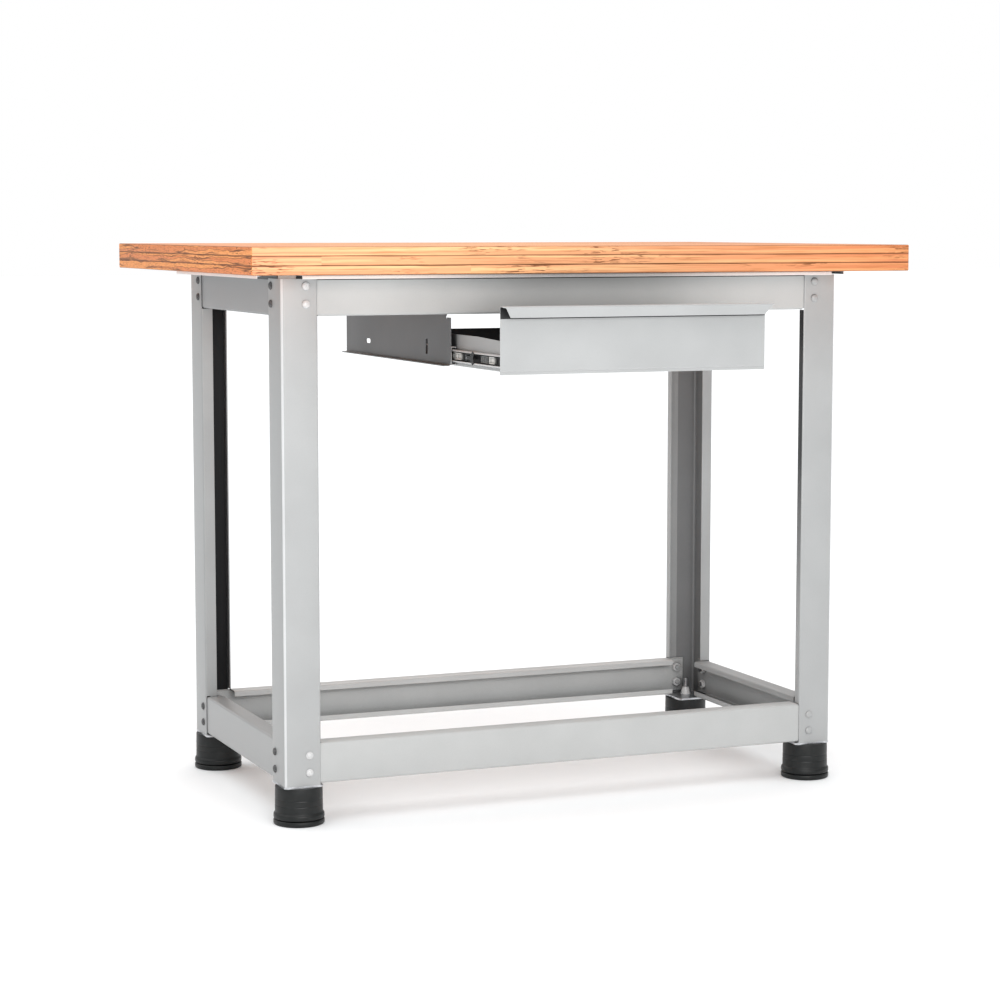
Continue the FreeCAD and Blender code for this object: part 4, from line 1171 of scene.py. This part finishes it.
def guide_block(low, high, columns, rows, out):
    """Block whose face has columns x rows of pockets; out is +1 or -1 along X.

    The pocket field is the product over both directions of a smooth step of the distance
    to the nearest rib: 3 s^2 - 2 s^3, where s is that distance over POCKET_SLOPE, held
    between 0 and 1.
    """
    size = high - low
    v = np.linspace(0, 1, POCKET_POINTS * columns + 1)
    w = np.linspace(0, 1, POCKET_POINTS * rows + 1)

    def from_rib(value, count, length):
        """The smooth step along one direction, with count pockets in a length."""
        pitch = length / count
        inside = (value * count) % 1.0
        near = np.minimum(inside, 1 - inside) * pitch
        step = np.clip((near - RIB / 2) / POCKET_SLOPE, 0, 1)
        return 3 * step ** 2 - 2 * step ** 3

    pocket = from_rib(v, columns, size[1])[:, None] * from_rib(w, rows, size[2])[None, :]
    depth = POCKET_DEPTH * pocket
    face, seat = (high[0], low[0]) if out > 0 else (low[0], high[0])
    across = face - out * depth
    v = np.concatenate([v[:1], v, v[-1:]])
    w = np.concatenate([w[:1], w, w[-1:]])
    across = np.pad(across, 1, constant_values=seat)
    along, up = np.meshgrid(low[1] + v * size[1], low[2] + w * size[2], indexing="ij")
    points = np.stack([across, along, up], axis=-1)
    quads = grid_quads(len(v), len(w), loop_columns=False)
    corners = np.array([[points[i, j] for i, j in ((0, 0), (0, -1), (-1, -1), (-1, 0))]])
    return [(points, quads), (corners, ONE_QUAD)]


# %% Blocks in both slides
BLOCK_FINISHES = (("front", 1, white_plastic), ("middle", 3, grey_plastic),
                  ("rear", 2, white_plastic))
for side, out in (("left", -1), ("right", 1)):
    lows, highs = solid_boxes(side + "_slide_guide_blocks")
    order = lows[:, 1].argsort()
    for (place_name, pockets, finish), index in zip(BLOCK_FINISHES, order):
        block = guide_block(lows[index], highs[index], pockets, 1, out)
        mesh_piece(f"{side}_{place_name}_guide_block", block, "drawer",
                   [side + "_slide_guide_blocks"], finish)

# %% [markdown]
# ## Balls, pins and small screws
#
# A bearing ball is a half circle turned about its middle. Blender has a sphere of its own,
# but the same function serves balls, pins and screws. The small screws have low round
# heads with a shank behind them, set on the seats that their packed boxes give.

# %% Bearing balls
BALL_POINTS = 13
SMALL_SIDES = 24
SMALL_EDGE = 0.3
UP = [(0.0, 0.0, 1.0)]
ball_arc = np.linspace(-np.pi / 2, np.pi / 2, BALL_POINTS)
for side in ("left", "right"):
    lows, highs = solid_boxes(side + "_slide_balls")
    radius = (highs - lows)[:, 2].min() / 2
    profile = np.column_stack([radius * np.cos(ball_arc), radius * np.sin(ball_arc)])
    profile[[0, -1], 0] = 0.0
    middles = (lows + highs) / 2
    balls = placed(turned(profile, SMALL_SIDES), middles, UP * len(middles))
    mesh_piece(side + "_bearing_balls", [balls], side + "_ball_cage", [side + "_slide_balls"],
               turned_zinc)

# %% Lever pins
lows, highs = solid_boxes("lever_pins")
pin_seat = (lows + highs) / 2
pin_radius = (highs - lows)[0, 2] / 2
pin_half = (highs - lows)[0, 0] / 2
pin_profile = [(0.0, -pin_half), (pin_radius, -pin_half), (pin_radius, pin_half), (0.0, pin_half)]
pin = turned(rounded(pin_profile, SMALL_EDGE), SMALL_SIDES)
mesh_piece("turned_lever_pins", [placed(pin, pin_seat, [(1.0, 0.0, 0.0)] * len(pin_seat))],
           "drawer", ["lever_pins"], turned_zinc)


# %% Small screws
SCREW_SIDES = 28


def screws(name, node, body, axis, heads, head_height, shank):
    """Round-head screws along one axis, turned about it like the balls.

    heads is the end of the axis with the head, +1 or -1, or 0 for the end that lies away
    from the drawer's middle. head_height and shank, a radius, are in millimetres.
    """
    lows, highs = solid_boxes(node)
    middles = (lows + highs) / 2
    half = (highs - lows)[0, axis] / 2
    head = (highs - lows)[0, (axis + 1) % 3] / 2
    outwards = np.sign(middles[:, axis] - drawer_middle[axis])
    sign = np.where(heads == 0, outwards, heads)
    out = np.eye(3)[axis] * sign[:, None]
    profile = [(0.0, half), (head * 0.5, half - 0.1 * head_height),
               (head * 0.93, half - 0.6 * head_height), (head * 0.98, half - head_height),
               (shank, half - head_height), (shank, -half), (0.0, -half)]
    grid = placed(turned(rounded(profile, SMALL_EDGE), SCREW_SIDES), middles, out)
    mesh_piece(name, [grid], body, [node], turned_zinc)


screws("round_slide_screws", "slide_screws", "drawer", 0, 0, head_height=1.8, shank=1.8)
screws("round_front_screws", "drawer_front_screws", "drawer", 1, 1, head_height=1.8, shank=1.8)
screws("flange_screws", "worktop_screws", "frame", 2, -1, head_height=3.0, shank=2.4)
screws("hanger_flange_screws", "hanger_screws", "frame", 2, -1, head_height=3.0, shank=2.4)

# %% [markdown]
# ## Bolts and nuts
#
# The frame is held by mushroom-head bolts with a nut behind each. Those at the sides are
# painted dark, as the shade around them, and those at the right of the front and the rear
# were painted over. A head is a low dome with a rounded rim. The tail behind the nut carries
# a thread, which is a radius that rises and falls along the rod and moves by one pitch in
# each turn. The Screw modifier could wind it too, but this way it is one grid with closed
# ends. A nut is a hexagon cut by a cone at both ends, so at each height its radius is the
# smaller of the two.

# %% Thread and nut
THREAD_DEPTH = 0.45
THREAD_PITCH = 1.25
ROWS_A_PITCH = 6
NUT_SIDES = 48
CONE_START = 0.96
CONE_RISE = 0.1


def threaded(radius, start, end, sides):
    """Rod from start to end with closed ends: r = radius - depth |2 frac(z / pitch - turns) - 1|.

    turns is the angle over a full turn, so the thread climbs one pitch each time round.
    """
    rows = int(abs(end - start) / THREAD_PITCH * ROWS_A_PITCH) + 2
    height = np.linspace(start, end, rows)[:, None]
    angle = np.linspace(0, 2 * np.pi, sides, endpoint=False)[None, :]
    phase = (height / THREAD_PITCH - angle / (2 * np.pi)) % 1.0
    reach = radius - THREAD_DEPTH * np.abs(2 * phase - 1)
    taper = np.clip(np.minimum(height - start, end - height) / THREAD_DEPTH, 0, 1)
    reach = reach - THREAD_DEPTH * (1 - taper)
    ring = np.stack([reach * np.cos(angle), reach * np.sin(angle), np.repeat(height, sides, 1)], -1)
    ends = [np.tile([[0.0, 0.0, value]], (sides, 1))[None] for value in (start, end)]
    points = np.concatenate([ends[0], ring, ends[1]])
    return points, grid_quads(len(points), sides)


def hexagon(flats, bore, low, high, chamfer):
    """Nut: radius is the smaller of flats / 2 / cos(a) in each sixth and a cone's at both ends."""
    angle = np.linspace(0, 2 * np.pi, NUT_SIDES, endpoint=False)
    sixth = (angle + np.pi / 6) % (np.pi / 3) - np.pi / 6
    prism = flats / 2 / np.cos(sixth)
    height = np.array([low, low + chamfer * 0.5, low + chamfer,
                       high - chamfer, high - chamfer * 0.5, high])
    from_end = np.minimum(height - low, high - height)
    cone = flats / 2 * CONE_START + from_end / chamfer * flats * CONE_RISE
    outer = np.minimum(prism[None, :], cone[:, None])
    inner = np.full((2, NUT_SIDES), bore)
    radius = np.concatenate([inner[:1], outer, inner[1:]])
    level = np.concatenate([[low], height, [high]])[:, None].repeat(NUT_SIDES, 1)
    points = np.stack([radius * np.cos(angle), radius * np.sin(angle), level], axis=-1)
    return points, grid_quads(len(points), NUT_SIDES, loop_rows=True)


# %% Bolts and nuts
BOLT_HEAD = 3.6
BOLT_RADIUS = 4.0
BOLT_EDGE = 0.6
BOLT_SIDES = 32
NECK_SIDES = 16
THREAD_SIDES = 20
NUT_FLATS = 13.0
NUT_BORE = BOLT_RADIUS - 0.1
NUT_HEIGHT = 6.0
NUT_CHAMFER = 0.7
SHEETS = 2 * SHEET
bolt_size = bolt_high - bolt_low
bolt_axis = bolt_size.argmax(axis=1)
bolt_middle = (bolt_high + bolt_low) / 2
outward = np.sign(np.take_along_axis(bolt_middle, bolt_axis[:, None], 1))
bolt_out = np.eye(3)[bolt_axis] * outward
bolt_length = bolt_size.max()
head_radius = bolt_size.min() / 2
bolt_end = bolt_middle + bolt_out * (bolt_length / 2)
bolt_seat = bolt_end - bolt_out * BOLT_HEAD
dome = [(0.0, BOLT_HEAD), (2.0, BOLT_HEAD - 0.12), (4.0, BOLT_HEAD - 0.75), (5.4, BOLT_HEAD - 1.7),
        (6.0, BOLT_HEAD - 2.7), (head_radius, 0.35), (head_radius, 0.0), (BOLT_RADIUS, 0.0)]
neck = [(BOLT_RADIUS, 0.0), (BOLT_RADIUS, -SHEETS), (0.0, -SHEETS)]
bolt_shapes = (turned(rounded(dome, BOLT_EDGE), BOLT_SIDES), turned(neck, NECK_SIDES),
               threaded(BOLT_RADIUS, BOLT_HEAD - bolt_length, -SHEETS, THREAD_SIDES))
on_face, on_left = bolt_axis == 1, bolt_middle[:, 0] < 0
# The bolts at the sides are painted dark, as the shade around their heads.
for name, chosen, finish in (("zinc_plated_bolts", on_face & on_left, tumbled_zinc),
                             ("painted_bolts", on_face & ~on_left, grey_coat),
                             ("side_bolts_painted_shade", ~on_face, side_bolt_shade)):
    bolt_grids = [placed(shape, bolt_seat[chosen], bolt_out[chosen]) for shape in bolt_shapes]
    mesh_piece(name, bolt_grids, "frame", ["frame_bolts"], finish)
nut_grid = hexagon(NUT_FLATS, NUT_BORE, -SHEETS - NUT_HEIGHT, -SHEETS, NUT_CHAMFER)
mesh_piece("hexagon_nuts", [placed(nut_grid, bolt_seat, bolt_out)], "frame", ["frame_nuts"],
           tumbled_zinc)

# %% [markdown]
# ## Levelling feet
#
# A foot is a black skirt over a round base, on a threaded stud that screws into a
# conical boss on the post's foot plate. The skirt flares a little towards the floor and
# ends in a bead. Two shallow rings run round it, and they catch the light. The Screw
# modifier can turn a profile too, but it would need a curve or a mesh for each.

# %% Profiles of a foot
def foot_skirt(low, high):
    """Profile of the skirt from the hole at its top, over the bead and up its inside."""
    outer = [(13.2, high), (35.1, high), (35.3, high - 9.0), (35.4, high - 17.0),
             (35.0, high - 18.0), (35.4, high - 19.0), (35.5, high - 26.0), (35.1, high - 27.0),
             (35.6, high - 28.0), (35.6, low + 9.6), (36.4, low + 8.6), (37.7, low + 6.4),
             (37.8, low + 1.6), (37.0, low)]
    inner = [(32.2, low), (31.7, low + 1.0), (31.7, high - 4.0), (13.2, high - 4.0)]
    return np.array(outer + inner)


def foot_base(low, high, socket_high):
    """Profile of the round base that stands on the floor, with the socket of the stud."""
    return np.array([(0.0, low), (36.2, low), (37.9, low + 1.6), (38.0, high - 1.6), (36.9, high),
                     (14.0, high), (14.0, socket_high), (4.2, socket_high), (0.0, socket_high)])


# %% Four feet
FOOT_SIDES = 96
SKIRT_EDGE = 0.8
BASE_EDGE = 0.7
BASE_HIGH = 8.0
SOCKET_HIGH = 22.0
STUD_RADIUS = 4.0
STUD_SIDES = 24
for corner, _, _ in SIDES:
    low, high = millimetre_box(corner + "_foot_sleeve")
    centre = np.array([[(low[0] + high[0]) / 2, (low[1] + high[1]) / 2, 0.0]])
    skirt = rounded(foot_skirt(low[2], high[2]), SKIRT_EDGE)
    ring = turned(skirt, FOOT_SIDES)[0]
    closed = (ring, grid_quads(len(skirt), FOOT_SIDES, loop_rows=True))
    mesh_piece(corner + "_skirt", [placed(closed, centre, UP)], "frame", [corner + "_foot_sleeve"],
               black_plastic)
    base = turned(rounded(foot_base(0.0, BASE_HIGH, SOCKET_HIGH), BASE_EDGE), FOOT_SIDES)
    mesh_piece(corner + "_base", [placed(base, centre, UP)], corner + "_foot",
               [corner + "_foot_base"], black_plastic)
    stud_high = millimetre_box(corner + "_foot_stud")[1]
    stud = threaded(STUD_RADIUS, SOCKET_HIGH, stud_high[2], STUD_SIDES)
    mesh_piece(corner + "_threaded_stud", [placed(stud, centre, UP)], corner + "_foot",
               [corner + "_foot_stud"], turned_zinc)

# %% Bosses on the foot plates
BOSS_EDGE = 0.5
BOSS_SIDES = 40
boss_low, boss_high = solid_boxes("foot_bosses")
boss_seat = (boss_low + boss_high) / 2
boss_seat[:, 2] = boss_low[:, 2]
boss_height = (boss_high - boss_low)[0, 2]
boss_profile = [(0.0, 0.0), (8.6, 0.0), (8.6, 1.4), (5.5, boss_height), (4.2, boss_height),
                (0.0, boss_height)]
boss = turned(rounded(boss_profile, BOSS_EDGE), BOSS_SIDES)
mesh_piece("conical_bosses", [placed(boss, boss_seat, UP * len(boss_seat))], "frame",
           ["foot_bosses"], tumbled_zinc)

# %% [markdown]
# ## The studio
#
# A pale floor, a very wide soft light from above and a low panel in front. The one above
# is a sun, because a sun lights the floor as evenly far away as it does near by, so the
# floor runs into the white behind the bench with no edge. The panel stands at table height
# and near: it shines over the drawer onto the rail under the overhang, and it fades towards
# the back of the bench. A picture of a studio could light it all at once, but two lights
# and a white sky are easier to steer.

# %% Floor
FLOOR_REACH = 40.0
FLOOR_WHITE = (0.95, 0.965, 0.975, 1.0)
FLOOR_ROUGHNESS = 0.9
FLOOR_SHINE = 0.1
floor_mesh = bpy.data.meshes.new("studio_floor")
floor_corners = [(x * FLOOR_REACH, y * FLOOR_REACH, 0.0)
                 for x, y in ((-1, -1), (1, -1), (1, 1), (-1, 1))]
floor_mesh.from_pydata(floor_corners, [], ONE_QUAD.tolist())
floor = bpy.data.objects.new("studio_floor", floor_mesh)
bpy.context.scene.collection.objects.link(floor)
floor_finish, _, floor_shader, _ = start_material("studio_floor_white")
floor_shader.inputs["Base Color"].default_value = FLOOR_WHITE
floor_shader.inputs["Roughness"].default_value = FLOOR_ROUGHNESS
floor_shader.inputs["Specular IOR Level"].default_value = FLOOR_SHINE
floor_mesh.materials.append(floor_finish)


# %% Lights
def new_light(name, data, place, toward):
    """Light at a place in metres, turned so that it shines along the direction toward."""
    light = bpy.data.objects.new(name, data)
    bpy.context.scene.collection.objects.link(light)
    light.location = place
    level = math.hypot(toward[0], toward[1])
    light.rotation_euler = (math.atan2(level, -toward[2]), 0.0, math.atan2(-toward[0], toward[1]))


def soft_sun(name, toward, strength, spread):
    """Sun whose light runs along a direction, spread over so many degrees of sky."""
    data = bpy.data.lights.new(name, "SUN")
    data.energy = strength
    data.angle = math.radians(spread)
    new_light(name, data, (0.0, 0.0, 0.0), toward)


def soft_panel(name, place, aim, size, power):
    """Rectangular light of a size in metres, at a place and turned to a point."""
    data = bpy.data.lights.new(name, "AREA")
    data.shape = "RECTANGLE"
    data.size, data.size_y = size
    data.energy = power
    new_light(name, data, place, [b - a for a, b in zip(place, aim)])


soft_sun("overhead", toward=(0.05, -0.25, -1.0), strength=2.6, spread=115.0)
soft_panel("front_panel", place=(-0.55, -2.7, 1.10), aim=(0.0, 0.0, 0.7), size=(1.4, 0.8),
           power=42.0)
print("lights:", [light.name for light in bpy.data.lights])

# %% Sky
SKY_WHITE = (1.0, 1.0, 1.0, 1.0)
SKY_SEEN = 1.0
SKY_FILL = 0.46
world = bpy.data.worlds.new("studio")
bpy.context.scene.world = world
world.use_nodes = True
sky = world.node_tree
seen = add_node(sky, "ShaderNodeBackground", {"Color": SKY_WHITE, "Strength": SKY_SEEN})
fill = add_node(sky, "ShaderNodeBackground", {"Color": SKY_WHITE, "Strength": SKY_FILL})
path = add_node(sky, "ShaderNodeLightPath")
both = add_node(sky, "ShaderNodeMixShader", {0: path.outputs["Is Camera Ray"]})
sky.links.new(fill.outputs[0], both.inputs[1])
sky.links.new(seen.outputs[0], both.inputs[2])
sky.links.new(both.outputs[0], sky.nodes["World Output"].inputs["Surface"])
bpy.context.scene.view_settings.view_transform = "Standard"

# %% [markdown]
# The camera stands low and a little to the left of the front, with a long lens, so that
# the uprights stay almost parallel and the top shows hardly more than its edge.

# %% Camera
CAMERA_PLACE = (-1.55814, -3.75196, 0.87881)
CAMERA_DOWN = 6.14
CAMERA_TURN = -22.35
CAMERA_LENS = 91.74
SENSOR_WIDTH = 36.0
camera_data = bpy.data.cameras.new("camera")
camera_data.lens = CAMERA_LENS
camera_data.sensor_width = SENSOR_WIDTH
camera = bpy.data.objects.new("camera", camera_data)
camera.location = CAMERA_PLACE
camera.rotation_euler = (math.radians(90.0 - CAMERA_DOWN), 0.0, math.radians(CAMERA_TURN))
bpy.context.scene.collection.objects.link(camera)
bpy.context.scene.camera = camera
print("camera:", CAMERA_PLACE, "m, lens", CAMERA_LENS, "mm")
